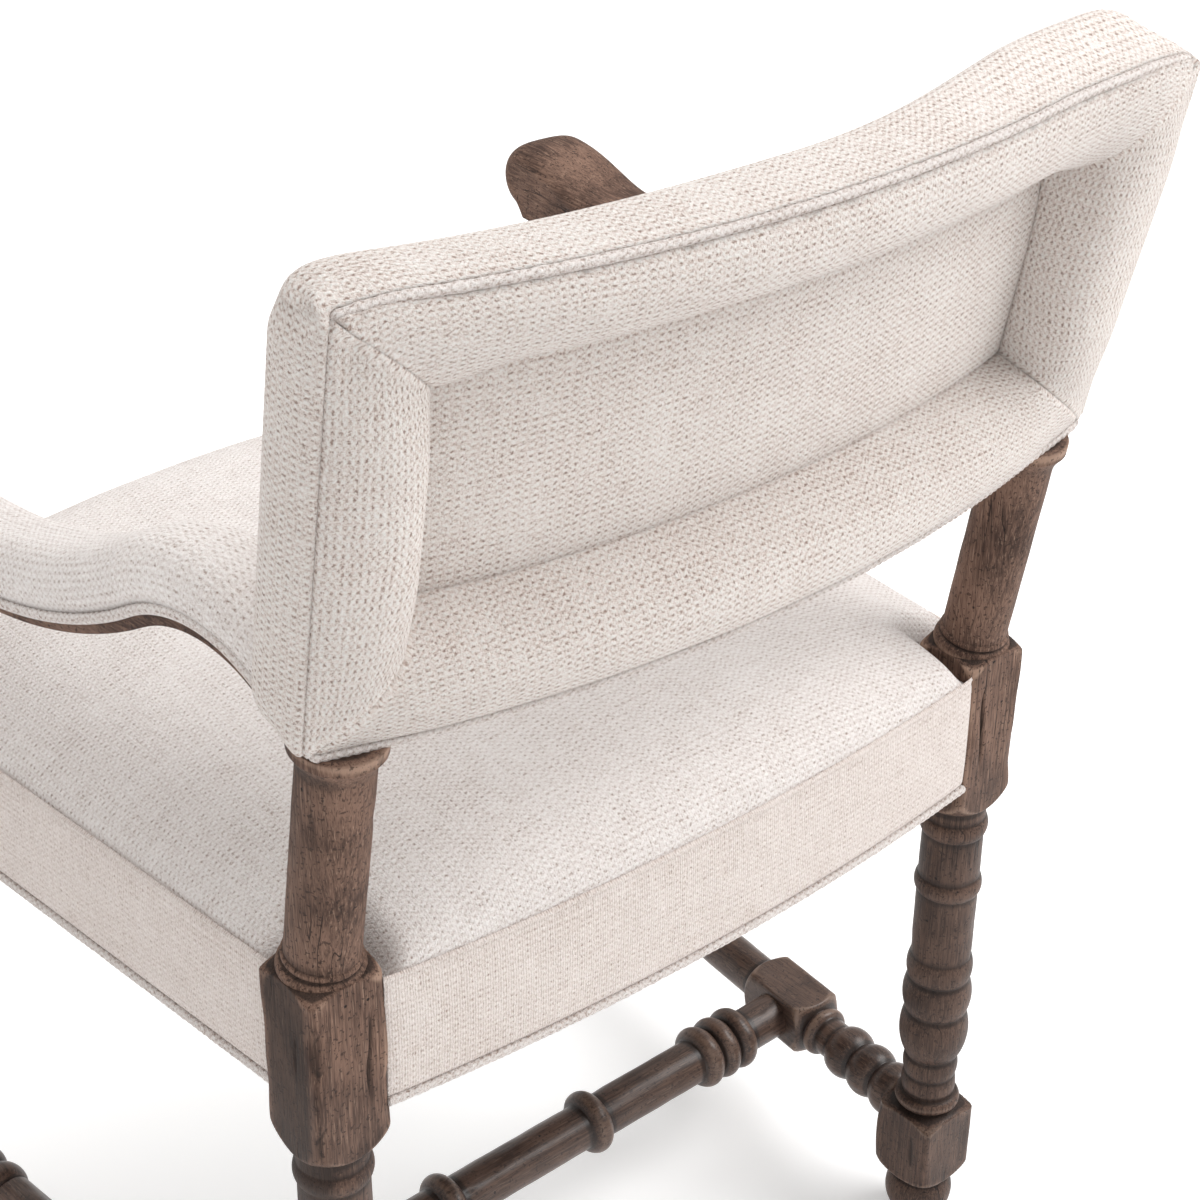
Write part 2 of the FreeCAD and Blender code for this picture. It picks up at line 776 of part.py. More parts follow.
def rail_shape():
    """The S-shaped rail under the pad, run on a little way into the hand."""
    depth = number("arm_rail_depth")
    lap = number("arm_lap")
    front_end = -lap / front_radius - lift_angle
    edges = arm_arcs(0, -lap) + arm_arcs(-depth, -lap) + [
        Part.LineSegment(rear_arc_point(-rear_angle, 0), rear_arc_point(-rear_angle, -depth)),
        Part.LineSegment(front_arc_point(front_end, 0), front_arc_point(front_end, -depth)),
    ]
    return across_arm(edges, number("arm_rail_width"))


def hand_section(across, inset):
    """The hand's side view at a place across it, its top and nose drawn in by an inset.

    It dips past the pad, rises, rolls over in a round nose and tucks back to the seat on the post.
    """
    roll = number("hand_roll") - inset
    height = number("hand_crest") - number("hand_roll")
    middle = post_at + number("hand_nose") - number("hand_roll")
    tuck = math.radians(number("hand_tuck"))
    slant = (math.radians(90) - tuck) / 2
    half_seat = number("hand_seat")
    shoulder = front_arc_point(-lift_angle, welt_height + pad_height - inset)
    dip = arm_point(post_at - number("hand_dip_at"), height + roll - number("hand_dip"))
    top = arm_point(middle, height + roll)
    nose = arm_point(middle + roll * math.cos(slant), height + roll * math.sin(slant))
    tip = arm_point(middle + roll * math.cos(tuck), height - roll * math.sin(tuck))
    foot = front_arc_point(-lift_angle, -number("arm_rail_depth"))
    seat_front = arm_point(post_at + half_seat, seat_height)
    seat_rear = arm_point(post_at - half_seat, seat_height)
    corners = [tip, seat_front, seat_rear, foot]
    rise = Part.BSplineCurve()
    rise.interpolate([shoulder, dip, top], InitialTangent=arm_point(1, 0), FinalTangent=arm_point(1, 0))
    edges = [rise, Part.Arc(top, nose, tip)]
    for start, stop in zip(corners, corners[1:] + [shoulder]):
        edges.append(Part.LineSegment(start, stop))
    wire = Part.Wire([edge.toShape() for edge in edges])
    wire.translate(Vector(across, 0, 0))
    return wire


def hand_shape():
    """The bare hand, lofted across its width with its edges rounded over."""
    half = number("hand_width") / 2
    rounding = number("hand_round")
    sections = []
    for level in swept_levels(HAND_STATIONS):
        place = 2 * level - 1
        inset = rounding * (1 - (1 - abs(place) ** HAND_EDGE) ** (1 / HAND_EDGE))
        sections.append(hand_section(half * place, inset))
    return Part.makeLoft(sections, True, False)


def along_arm(section, lift):
    """A closed section of (across, up) points, swept along the arm from its rear end.

    A point may be a pair of points, for an arc through the first to the second.
    """
    def spot(point):
        return rear_arc_point(-rear_angle, lift + point[1], point[0])

    edges = []
    last = spot(section[-1][-1] if isinstance(section[-1][0], tuple) else section[-1])
    for point in section:
        if isinstance(point[0], tuple):
            edges.append(Part.Arc(last, spot(point[0]), spot(point[1])).toShape())
            last = spot(point[1])
        else:
            edges.append(Part.LineSegment(last, spot(point)).toShape())
            last = spot(point)
    path = Part.Wire([arc.toShape() for arc in arm_arcs(lift, gap)])
    return path.makePipeShell([Part.Wire(edges)], True, False)


gap = number("soft_gap")
pad_half = number("pad_width") / 2
pad_side = number("pad_side")
pad_height = number("pad_height")
welt_half = number("arm_welt_width") / 2
welt_height = number("arm_welt_height")
pad_section = [
    (-pad_half, gap),
    (pad_half, gap),
    (pad_half, pad_side),
    ((0, pad_height), (-pad_half, pad_side)),
]
welt_hang = number("arm_welt_hang")
welt_inner = number("arm_rail_width") / 2 + gap
welt_middle = (welt_height - welt_hang) / 2
round_end = welt_half - number("arm_welt_bulge")
welt_section = [
    (welt_inner, gap),
    (welt_inner, -welt_hang),
    (round_end, -welt_hang),
    ((welt_half, welt_middle), (round_end, welt_height)),
    (-round_end, welt_height),
    ((-welt_half, welt_middle), (-round_end, -welt_hang)),
    (-welt_inner, -welt_hang),
    (-welt_inner, gap),
]

# Back upholstery: a crowned front cushion whose skirt wraps the frame, open at the rear like a tray.

back_half = number("back_half_width")
back_radius = number("back_radius")
back_axis = number("back_axis")
back_bottom = number("back_bottom")
back_height = number("back_height")
back_thickness = number("back_thickness")
back_crown = number("back_crown")
edge_round = number("back_edge_round")
skirt_end = number("2 * back_welt_radius - back_welt_sink")
back_frame = Placement(
    Vector(0, number("rear_leg_y"), number("block_top")),
    Rotation(Vector(-1, 0, 0), number("back_rake")),
)


def rear_face(across, depth=0):
    """How far behind the posts the back's rear face is, less a depth."""
    return math.sqrt((back_radius - depth) ** 2 - across ** 2) + back_axis


def cushion_section(level, grow):
    """The cushion's plan at a level up the back: rear arc, flat sides, rounded edges, hollow front."""
    swell = fullness(level)
    up = back_bottom - grow + level * (back_height + 2 * grow)
    half = back_half + grow
    rim = rear_face(half, back_thickness - edge_round * (1 - swell) + grow)
    middle = rear_face(0, back_thickness - edge_round * (1 - swell) + grow + back_crown * swell)
    bend = edge_round * (1 - math.sqrt(0.5))
    right_rear = Vector(half, rear_face(half, skirt_end), up)
    left_rear = Vector(-half, right_rear.y, up)
    right_side = Vector(half, rim + edge_round, up)
    left_side = Vector(-half, right_side.y, up)
    right_front = Vector(half - edge_round, rim, up)
    left_front = Vector(-right_front.x, rim, up)
    return Part.Wire([
        Part.Arc(left_rear, Vector(0, rear_face(0, skirt_end), up), right_rear).toShape(),
        Part.LineSegment(right_rear, right_side).toShape(),
        Part.Arc(right_side, Vector(half - bend, rim + bend, up), right_front).toShape(),
        Part.Arc(right_front, Vector(0, middle, up), left_front).toShape(),
        Part.Arc(left_front, Vector(bend - half, rim + bend, up), left_side).toShape(),
        Part.LineSegment(left_side, left_rear).toShape(),
    ])


def cushion_shape(grow):
    """The back cushion as if it were solid, grown by a clearance."""
    sections = [cushion_section(level, grow) for level in swept_levels(BACK_STATIONS)]
    return Part.makeLoft(sections, True, False)


cushion_blank = formed("cushion_blank", cushion_shape(0), back_frame)
cushion_room = formed("cushion_room", cushion_shape(gap), back_frame)
well = back_slice(
    "back_hollow", "back_half_width - back_wall", "back_bottom + back_wall", "back_top - back_wall",
    "back_well", "0")
stile_room = raked_box("stile_room", *grown(stile_corner, stile_size, "soft_gap"))
stile_room_right = mirror("stile_room_right", stile_room)
tail_corner = (
    "rear_leg_x - arm_tail_width / 2",
    "rear_leg_y - arm_tail_reach",
    "block_top + arm_root - arm_tail_depth",
)
tail_size = ("arm_tail_width", "2 * arm_tail_reach + stile_face", "arm_tail_depth")
tail, tail_mortise = tenon("arm_tail", tail_corner, tail_size)
tail_room = box("arm_tail_room", *grown(tail_corner, tail_size, "soft_gap"))
tail_room_right = mirror("arm_tail_room_right", tail_room)
node("back_cushion", cut(
    "cushion", cushion_blank, well, stile_room, stile_room_right, tail_room, tail_room_right))

# Rear of the back: a border stuffed into a roll, mitred at the corners, round a sunk panel.

border_end = "back_well - soft_gap"
roll_crest = f"border_width * {ROLL_CREST_SHARE}"
roll_turn = "border_width - border_roll"
roll_side = f"border_width - border_roll * {ROLL_SIDE_SHARE}"
roll_fall = f"border_drop * {ROLL_FALL_SHARE}"
BORDER = [
    ("back_wall + soft_gap", "border_seam", (roll_crest, "-border_crown")),
    (roll_turn, "0", (roll_side, roll_fall)),
    ("border_width", "border_drop"),
    ("border_width", border_end),
    ("back_wall + soft_gap", border_end),
]


def mitred(name, top, room):
    """The wedge of the back that belongs to its top or bottom border, cut back by some room."""
    wide = f"(back_half_width - {room})"
    narrow = f"(back_half_width - border_width - {room})"
    thing = wedge(
        name,
        (f"-{narrow}", narrow) if top else (f"-{wide}", wide),
        (f"-{wide}", wide) if top else (f"-{narrow}", narrow),
        "back_top - border_width" if top else "back_bottom",
        "back_top" if top else "back_bottom + border_width",
        "-back_half_width", "back_half_width",
    )
    turn(thing, (1, 0, 0), "90 - back_rake")
    return put(thing, "0", "rear_leg_y", "block_top")


def across_border(inward, depth):
    """A point of the left border's section, from its place inward and its depth."""
    x = f"(back_half_width - ({inward}))"
    return x, f"sqrt((back_radius - ({depth}))^2 - {x}^2) + back_axis"


def up_border(inward, depth, top):
    """A point of the top or bottom border's section, from its place inward and its depth."""
    return f"back_radius - ({depth})", f"back_top - ({inward})" if top else f"back_bottom + {inward}"


def section(place):
    """The border's section through a function that gives each point its place."""
    return [place(*point[:2]) + ((place(*point[2]),) if len(point) == 3 else ()) for point in BORDER]


def rail_room(name, low):
    """The room a back rail takes inside its border."""
    return back_slice(
        name, f"{rail_half} + soft_gap", f"{low} - soft_gap", f"{low} + back_rail_height + soft_gap",
        "back_rail_front + soft_gap", "back_rail_rear - soft_gap")


swing = "2 * asin((back_half_width - back_wall - soft_gap) / back_radius)"
for label, top, rail_foot in (("top", True, high_foot), ("bottom", False, low_foot)):
    profile = section(lambda inward, depth: up_border(inward, depth, top))
    roll = swung(f"border_{label}_roll", profile, swing)
    kept = common(f"border_{label}_mitred", roll, mitred(f"mitre_{label}", top, "soft_gap"))
    room = rail_room(f"rail_room_{label}", rail_foot)
    node(f"back_border_{label}", cut(f"border_{label}", kept, room, stile_room, stile_room_right))
side_height = "back_height - 2 * back_wall - 2 * soft_gap"
side_roll = padded("border_side_roll", "XY", section(across_border), side_height)
rake(side_roll, "0", "0", "back_bottom + back_height / 2")
side_mitres = [mitred("mitre_over", True, "0"), mitred("mitre_under", False, "0")]
pair("back_border", cut("border_side", side_roll, *side_mitres, stile_room))
panel_edge = "border_width + soft_gap"
panel_half = f"back_half_width - ({panel_edge})"
panel_low = f"back_bottom + {panel_edge}"
panel_high = f"back_top - ({panel_edge})"
node("back_panel", back_slice(
    "sunk_panel", panel_half, panel_low, panel_high, "panel_sink + panel_thickness", "panel_sink"))
cord_rim = "back_radius - back_welt_radius + back_welt_sink + soft_gap"
cord_swing = "2 * asin(back_half_width / back_radius)"
for label, up in (("top", "(back_top - back_wall / 2)"), ("bottom", "(back_bottom + back_wall / 2)")):
    cord = swung(f"welt_{label}", [
        (cord_rim, f"{up} - back_welt_radius", (f"{cord_rim} + back_welt_radius", up)),
        (cord_rim, f"{up} + back_welt_radius", (f"{cord_rim} - back_welt_radius", up)),
    ], cord_swing)
    node(f"back_welt_{label}", cord)

# The wooden pieces, cut for their joints.

rear_leg = cut(
    "rear_leg", rear_blank, rear_rail_mortise, side_rear_mortise, side_bore,
    low_rail_mortise, high_rail_mortise, tail_mortise)
front_leg = cut("front_leg", front_blank, front_rail_mortise, side_front_mortise, side_bore)
pair("rear_leg", rear_leg)
pair("front_leg", front_leg)
for label, x, y in (("rear", "rear_leg_x", "rear_leg_y"), ("front", "front_leg_x", "front_leg_y")):
    glide = put(cylinder(f"{label}_glide", "glide_radius", "glide_height"), x, y)
    pair(f"{label}_glide", glide)
side_blank = common("side_stretcher_blank", side_turning, side_stock)
side_stretcher, other_stretcher = pair(
    "side_stretcher", cut("side_stretcher", side_blank, cross_bore, rear_leg, front_leg))
node("cross_stretcher", cut("cross_stretcher", cross_turning, side_stretcher, other_stretcher))
node("seat_rail_rear", rear_rail)
node("seat_rail_front", front_rail)
pair("seat_rail", side_rail)
node("back_rail_bottom", low_rail)
node("back_rail_top", high_rail)
arm_bore = cylinder("arm_bore", "arm_tenon_radius + joint_gap", "arm_tenon_length + joint_gap")
put(arm_bore, "front_leg_x", "front_leg_y", "block_top + arm_seat")
arm_wood = formed("arm_wood", rail_shape().fuse(hand_shape()), arm_frame)
pair("arm", fuse("arm", cut("arm_bored", arm_wood, cushion_room, arm_bore), tail))
welt_sweep = formed("arm_welt_sweep", along_arm(welt_section, 0), arm_frame)
pair("arm_welt", cut("arm_welt", welt_sweep, cushion_room))
pad_sweep = formed("arm_pad_sweep", along_arm(pad_section, welt_height), arm_frame)
pair("arm_pad", cut("arm_pad", pad_sweep, cushion_room))

# Blocks glued into the corners of the seat frame, and the webs across it.

corner_low = f"{rail_low} + corner_lift"
corner_high = f"{rail_low} + corner_lift + corner_height"


def corner_block(name, leg_x, half, rear):
    """A block that fills a corner of the seat frame round the leg, with a slanted inner face."""
    outer = f"{half} - ({rail_skin}) - rail_thickness / 2"
    toe = (f"{leg_x} - corner_toe", outer)
    heel = (f"{leg_x} - corner_reach", outer)
    face = "rear_leg_y - rail_inset" if rear else "front_leg_y + rail_inset"
    blank = wedge(
        f"{name}_blank",
        toe if rear else heel,
        heel if rear else toe,
        f"{face} - corner_reach" if rear else face,
        face if rear else f"{face} + corner_reach",
        corner_low, corner_high,
    )
    return cut(name, blank, rear_stock if rear else front_stock, side_rail_blank)


pair("corner_block_rear", corner_block("corner_rear", "rear_leg_x", "seat_half_rear", True))
pair("corner_block_front", corner_block("corner_front", "front_leg_x", "seat_half_front", False))
middle_y = "(rear_leg_y + front_leg_y) / 2"
half_slope = "(seat_half_front - seat_half_rear) / (leg_spacing - block_size)"
for index, label in enumerate(("left", "middle", "right")):
    shift = f"({1 - index}) * web_pitch"
    node(f"seat_web_{label}", box(
        f"long_web_{label}",
        (f"{shift} - web_width / 2", "front_leg_y - rail_inset", "rail_top"),
        ("web_width", "leg_spacing + 2 * rail_inset", "web_thickness"),
    ))
for index, label in enumerate(("rear", "centre", "front")):
    place = f"{middle_y} + ({1 - index}) * web_pitch"
    edge = f"seat_half_rear + ({side_rear} - ({place})) * {half_slope}"
    reach = f"({edge} - ({rail_skin}) - rail_thickness / 2)"
    node(f"seat_web_{label}", box(
        f"cross_web_{label}",
        (f"-{reach}", f"{place} - web_width / 2", side_rail_top),
        (f"2 * {reach}", "web_width", "web_thickness"),
    ))

# Seat upholstery: a crowned cushion, a band round the rails, a welt at its foot and a dust cover.

seat_front = number("front_leg_y - front_reach")
seat_rear = number("rear_leg_y + rear_reach")
seat_slope = number(half_slope)
seat_half = number(f"seat_half_rear - ({rail_skin})")
seat_corner = number(side_rear)
cushion_low = number(f"{side_rail_top} + web_thickness + soft_gap")
crease = number("crease")
seat_crown = number("seat_crown")
edge_rise = number("seat_edge_rise")


def seat_section(level):
    """The cushion's section from side to side, at a level from its front edge to its rear edge."""
    y = seat_front + level * (seat_rear - seat_front)
    half = seat_half + (seat_corner - y) * seat_slope
    left = Vector(-half, y, crease)
    right = Vector(half, y, crease)
    crown = Vector(0, y, crease + edge_rise + seat_crown * fullness(level))
    foot = [Vector(half, y, cushion_low), Vector(-half, y, cushion_low)]
    return Part.Wire([
        Part.Arc(left, crown, right).toShape(),
        Part.LineSegment(right, foot[0]).toShape(),
        Part.LineSegment(foot[0], foot[1]).toShape(),
        Part.LineSegment(foot[1], left).toShape(),
    ])


def leg_room(name, x, y):
    """The room a leg's block takes in the upholstery."""
    corner = (f"{x} - block_size / 2 - soft_gap", f"{y} - block_size / 2 - soft_gap", "0")
    return box(name, corner, ("block_size + 2 * soft_gap", "block_size + 2 * soft_gap", front_height))


rear_room = leg_room("rear_leg_room", "rear_leg_x", "rear_leg_y")
front_room = leg_room("front_leg_room", "front_leg_x", "front_leg_y")
leg_rooms = [rear_room, front_room]
leg_rooms += [mirror(f"{room.Name}_right", room) for room in leg_rooms]
seat_sections = [seat_section(level) for level in swept_levels(SEAT_STATIONS)]
seat_blank = formed("seat_blank", Part.makeLoft(seat_sections, True, False))
seat_trimmed = common(
    "seat_trimmed", seat_blank,
    bowed("seat_rear_rim", rail_skin, "0", front_height, True),
    bowed("seat_front_rim", rail_skin, "0", front_height, False),
)
node("seat_cushion", cut("seat_cushion", seat_trimmed, *leg_rooms))
band_low = "seat_bottom + welt_height + soft_gap"


def end_strip(name, leg_x, rear, low, high, proud):
    """A strip of upholstery bowed round the rear or front of the seat, between two leg blocks."""
    half = f"({leg_x} - block_size / 2 - soft_gap)"
    start = "rear_leg_y" if rear else "front_leg_y - 2 * front_reach"
    depth = "2 * rear_reach" if rear else "2 * front_reach"
    height = f"{high} - ({low})"
    blank = box(f"{name}_blank", (f"-{half}", start, low), (f"2 * {half}", depth, height))
    rim = bowed(f"{name}_rim", f"-{proud}", low, height, rear)
    back = bowed(f"{name}_back", "band_thickness", low, height, rear)
    return cut(name, common(f"{name}_bow", blank, rim), back)


def side_strip(name, low, high, proud):
    """A strip of upholstery along the side of the seat, between two leg blocks."""
    return wedge(
        name,
        ("seat_half_front - band_thickness", f"seat_half_front + {proud}"),
        ("seat_half_rear - band_thickness", f"seat_half_rear + {proud}"),
        f"{side_front} + soft_gap", f"{side_rear} - soft_gap", low, high,
    )


for label, low, high, proud in (
    ("seat_band", band_low, "crease", "0"),
    ("seat_welt", "seat_bottom", "seat_bottom + welt_height", "welt_proud"),
):
    node(f"{label}_rear", end_strip(f"{label}_rear", "rear_leg_x", True, low, high, proud))
    node(f"{label}_front", end_strip(f"{label}_front", "front_leg_x", False, low, high, proud))
    pair(label, side_strip(f"{label}_side", low, high, proud))
cover_front = f"(seat_half_front - ({rail_skin}) - rail_thickness / 2)"
cover_rear = f"(seat_half_rear - ({rail_skin}) - rail_thickness / 2)"
cover_blank = wedge(
    "cover_blank", (f"-{cover_front}", cover_front), (f"-{cover_rear}", cover_rear),
    "front_leg_y - rail_inset", "rear_leg_y + rail_inset", f"{rail_low} - dust_cover", rail_low,
)
node("dust_cover", cut("dust_cover", cover_blank, *leg_rooms))

# Work everything out, check it, and write each sub-part to its own file.

sheet.clear(WORKED_CELL)
doc.recompute()
failed = [thing.Name for thing in doc.Objects if {"Invalid", "Error"} & set(thing.State)]
for thing in nodes:
    if thing.Shape.isNull() or not thing.Shape.isValid() or len(thing.Shape.Solids) != 1:
        failed.append(thing.Label)
if failed:
    raise RuntimeError(f"these failed: {sorted(set(failed))}")
os.makedirs("parts", exist_ok=True)
for thing in nodes:
    thing.Shape.Solids[0].exportStep(f"parts/{thing.Label}.step")
whole = Part.makeCompound([thing.Shape for thing in nodes]).optimalBoundingBox()
print(f"{len(nodes)} sub-parts, box {whole.XLength:.1f} x {whole.YLength:.1f} x {whole.ZLength:.1f} mm")
print(f"centre of the plan box: x {whole.Center.x:.3f}, y {whole.Center.y:.3f}, lowest {whole.ZMin:.3f}")
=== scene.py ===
# %% [markdown]
# # A dining armchair
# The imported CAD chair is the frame: every piece made here lies where its solid lies. The wood keeps the
# turner's profiles, worn by use, and the upholstery becomes woven cloth over stuffing, with its seams,
# mitres and piping. Lengths are worked out in millimetres and put into Blender in metres.

# %% Load the frame
import math

import bmesh
import bpy
import numpy as np
from mathutils import Matrix, Vector


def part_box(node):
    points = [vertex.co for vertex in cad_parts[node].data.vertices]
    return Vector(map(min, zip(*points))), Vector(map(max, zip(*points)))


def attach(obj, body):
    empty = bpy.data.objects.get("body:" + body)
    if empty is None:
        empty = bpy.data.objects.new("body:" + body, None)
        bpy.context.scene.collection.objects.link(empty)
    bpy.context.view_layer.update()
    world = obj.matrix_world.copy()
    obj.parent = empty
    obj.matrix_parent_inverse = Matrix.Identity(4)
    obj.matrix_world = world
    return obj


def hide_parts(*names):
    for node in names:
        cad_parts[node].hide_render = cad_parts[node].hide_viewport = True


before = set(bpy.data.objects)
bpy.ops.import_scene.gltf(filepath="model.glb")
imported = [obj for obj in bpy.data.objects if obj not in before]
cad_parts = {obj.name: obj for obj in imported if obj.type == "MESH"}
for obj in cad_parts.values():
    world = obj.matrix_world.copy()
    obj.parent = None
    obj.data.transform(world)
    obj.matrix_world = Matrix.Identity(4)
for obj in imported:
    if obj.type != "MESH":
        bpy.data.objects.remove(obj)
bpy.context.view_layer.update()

MM = 0.001

# %% [markdown]
# ## Camera
# The photograph looks down on the chair from behind the sitter's left shoulder. Lining the legs' blocks and
# the stretchers up with the picture gave the place and the three angles of a long lens.

# %% Camera
CAMERA_PLACE = (0.8541, 1.10258, 1.3512)
YAW, PITCH, ROLL = (math.radians(angle) for angle in (41.304, 30.280, -0.613))
LENS, SENSOR = 75.52, 36.0
ahead = Vector((-math.sin(YAW) * math.cos(PITCH), -math.cos(YAW) * math.cos(PITCH), -math.sin(PITCH)))
level = ahead.cross(Vector((0, 0, 1))).normalized()
fall = ahead.cross(level)
right = level * math.cos(ROLL) + fall * math.sin(ROLL)
down = fall * math.cos(ROLL) - level * math.sin(ROLL)
lens = bpy.data.cameras.new("camera")
lens.lens = LENS
lens.sensor_width = SENSOR
camera = bpy.data.objects.new("camera", lens)
camera.matrix_world = Matrix.Translation(CAMERA_PLACE) @ Matrix((right, -down, -ahead)).transposed().to_4x4()
bpy.context.collection.objects.link(camera)
bpy.context.scene.camera = camera
print("camera", CAMERA_PLACE, "lens", LENS)

# %% [markdown]
# ## Materials as sums
# A finish is a formula over the surface. This class wraps one socket of a material, so that the formula can
# be written as arithmetic: each sum or product adds a Math node. Every other node comes from `node`.

# %% A class for shader arithmetic
class Wire:
    """One socket of a material. Arithmetic on wires adds Math nodes to the same material."""

    def __init__(self, tree, port=None):
        self.tree = tree
        self.port = port

    def node(self, kind, sockets=None, out=0, **settings):
        """Add a shader node: its settings first, then a number, colour or wire on each named socket."""
        made = self.tree.nodes.new("ShaderNode" + kind)
        for name, value in settings.items():
            setattr(made, name, value)
        for key, value in (sockets or {}).items():
            if isinstance(value, Wire):
                self.tree.links.new(value.port, made.inputs[key])
            else:
                made.inputs[key].default_value = value
        return Wire(self.tree, made.outputs[out] if len(made.outputs) else None)

    def out(self, key):
        """Another output of the node that this wire comes from."""
        return Wire(self.tree, self.port.node.outputs[key])

    def math(self, operation, *others):
        """A Math node of this wire and up to two more values."""
        return self.node("Math", dict(enumerate((self, *others))), operation=operation)

    def sine(self):
        return self.math("SINE")

    def ramp(self, low, high):
        """0 below low, 1 above high, smooth between."""
        return self.node("MapRange", {"Value": self, "From Min": low, "From Max": high},
                         interpolation_type="SMOOTHSTEP")

    def mix(self, start, stop):
        """A colour between two, by this wire as the share of the second."""
        return self.node("Mix", {0: self, 6: start, 7: stop}, out=2, data_type="RGBA")

    def noise(self, scale, detail=2.0, rough=0.5):
        """Cloudy noise over this wire's coordinates, with so many lumps a metre."""
        return self.node("TexNoise", {"Vector": self, "Scale": scale, "Detail": detail, "Roughness": rough})

    def stretched(self, scale):
        """These coordinates scaled along each axis."""
        return self.node("Mapping", {"Vector": self, "Scale": scale})

    def __add__(self, other):
        return self.math("ADD", other)

    __radd__ = __add__

    def __sub__(self, other):
        return self.math("SUBTRACT", other)

    def __rsub__(self, other):
        return (self * -1.0) + other

    def __mul__(self, other):
        return self.math("MULTIPLY", other)

    __rmul__ = __mul__


def colour(*levels):
    """A shader colour from screen levels of 0 to 255."""
    share = np.array(levels) / 255.0
    linear = np.where(share <= 0.04045, share / 12.92, ((share + 0.055) / 1.055) ** 2.4)
    return (*[float(v) for v in linear], 1.0)


def finish(name):
    """A new, empty material and the wire that starts its formula."""
    material = bpy.data.materials.new(name)
    material.use_nodes = True
    material.node_tree.nodes.clear()
    return material, Wire(material.node_tree)


def surface_of(start, sockets, height, depth, strength):
    """Join a Principled shader, roughened by a bump of some depth in metres, to the material's output."""
    bump = start.node("Bump", {"Height": height, "Distance": depth, "Strength": strength})
    shader = start.node("BsdfPrincipled", {**sockets, "Normal": bump})
    start.node("OutputMaterial", {"Surface": shader})


# %% [markdown]
# ## Cloth
# The cover is a nubbly hopsack of ivory yarn: soft knots of yarn stand in staggered rows with a rosy gap
# between them, no two alike. A product of two sines gives the rows: it is 1 in a gap and -1 on a knot.
# Noise moves the threads, loops the yarn and makes one gap deeper than the next. On the seat, its bands and
# the arms the cloth is pulled smoother and more of its upright threads show. `mark` is above 0 along seams,
# folds and creases: there it paints shade on the cloth.

# %% Cloth
WEFT_PITCH, WARP_PITCH, STRIPE = 2.7 * MM, 2.1 * MM, 1.7 * MM
STRAY, WEAVE_DEPTH = 1.2 * MM, 1.4 * MM
GAP_TONE, SEAM_SHADE = colour(152, 124, 109), colour(96, 80, 72)


def cloth(name, light, shade, nubs, stripes):
    """Hopsack over the piece's own cloth coordinates, in metres along the weft and the warp.

    Hollow of the weave = rows of knots + loops of yarn + fibres, all by `nubs`, + upright threads by
    `stripes`, less thick yarns both ways and broad clouds. Hollows are darker and deeper.
    """
    material, start = finish(name)
    flat = start.node("UVMap", uv_map="weave")
    drift = flat.noise(330.0, 3.0, 0.7).out("Color")
    moved = start.node("VectorMath", {0: drift, 1: (2 * STRAY, 2 * STRAY, 0.0), 2: flat},
                       operation="MULTIPLY_ADD")
    weft = start.node("SeparateXYZ", {0: moved})
    course = (weft.out("Y") * (math.pi / WARP_PITCH)).sine()
    rows = (weft * (math.pi / WEFT_PITCH)).sine() * course
    each = flat.noise(210.0, 1.0).ramp(0.3, 0.7)
    loops = flat.noise(760.0, 2.0, 0.6) - 0.5
    fibre = flat.noise(1800.0, 2.0, 0.6) - 0.5
    slub = flat.stretched((45.0, 420.0, 1.0)).noise(1.0, 2.0)
    cross_slub = flat.stretched((420.0, 45.0, 1.0)).noise(1.0, 2.0)
    cloud = flat.noise(18.0, 2.0) - 0.5
    mark = start.node("Attribute", out="Fac", attribute_name="mark")
    upright = (weft * (2.0 * math.pi / STRIPE)).sine()
    knots = rows * (0.2 + each * 0.4) + course * 0.22 + loops * 2.9 + fibre * 1.9
    hollow = knots * nubs + upright * stripes - (slub + cross_slub - 1.0) * 0.7 - cloud * 0.4
    tone = hollow.ramp(-0.7, 0.8).mix(light, shade)
    tone = (hollow.ramp(0.25, 0.95) * 0.85).mix(tone, GAP_TONE)
    # Painted shade: `mark` darkens the cloth along seams, folds and creases.
    tone = mark.ramp(0.0, 1.0).mix(tone, SEAM_SHADE)
    surface_of(start, {"Base Color": tone, "Roughness": 0.94, "Sheen Weight": 0.2, "Sheen Roughness": 0.5},
               hollow * -0.6, WEAVE_DEPTH, 0.95)
    return material


# One cloth in four copies. The back's copy is lighter and the bands' copy darker, as painted light and shade.
# The seat's and arms' copy has a paler tint, as painted light.
COVER = cloth("ivory_hopsack", colour(255, 250, 245), colour(224, 205, 195), 1.0, 0.0)
LIT_SMOOTH_COVER = cloth("ivory_hopsack_smooth_lit", colour(253, 248, 245), colour(218, 206, 200), 0.7, 0.08)
SHADED_BAND_COVER = cloth("ivory_hopsack_band_shaded", colour(237, 228, 223), colour(203, 187, 178), 0.5, 0.22)
PIPING = cloth("ivory_piping", colour(252, 246, 242), colour(212, 196, 188), 0.9, 0.0)
print("cloth", COVER.name, LIT_SMOOTH_COVER.name, SHADED_BAND_COVER.name, PIPING.name)

# %% [markdown]
# ## Wood
# Dark grey-brown hardwood, stained and rubbed back. Streaks run along the grain, with thin drying
# cracks, worm holes and specks. `mark` on a turned piece is above 0 where hands and feet rub the edges bare,
# and below 0 in the grooves, which hold dirt and painted shade, and on the faces turned outward and the
# turnings below the seat, which are darkened as painted shade. Towards the floor the wood is darker and
# waxed.

# %% Wood
STAIN, GRIME_AND_SHADE, PIT = colour(40, 29, 25), colour(14, 10, 9), colour(22, 16, 14)
WAXED_BELOW, DULL_ABOVE = 0.3, 0.48
GRAIN_DEPTH = 0.7 * MM
STREAK_SHARE, CRACK_SHARE = 0.045, 0.02


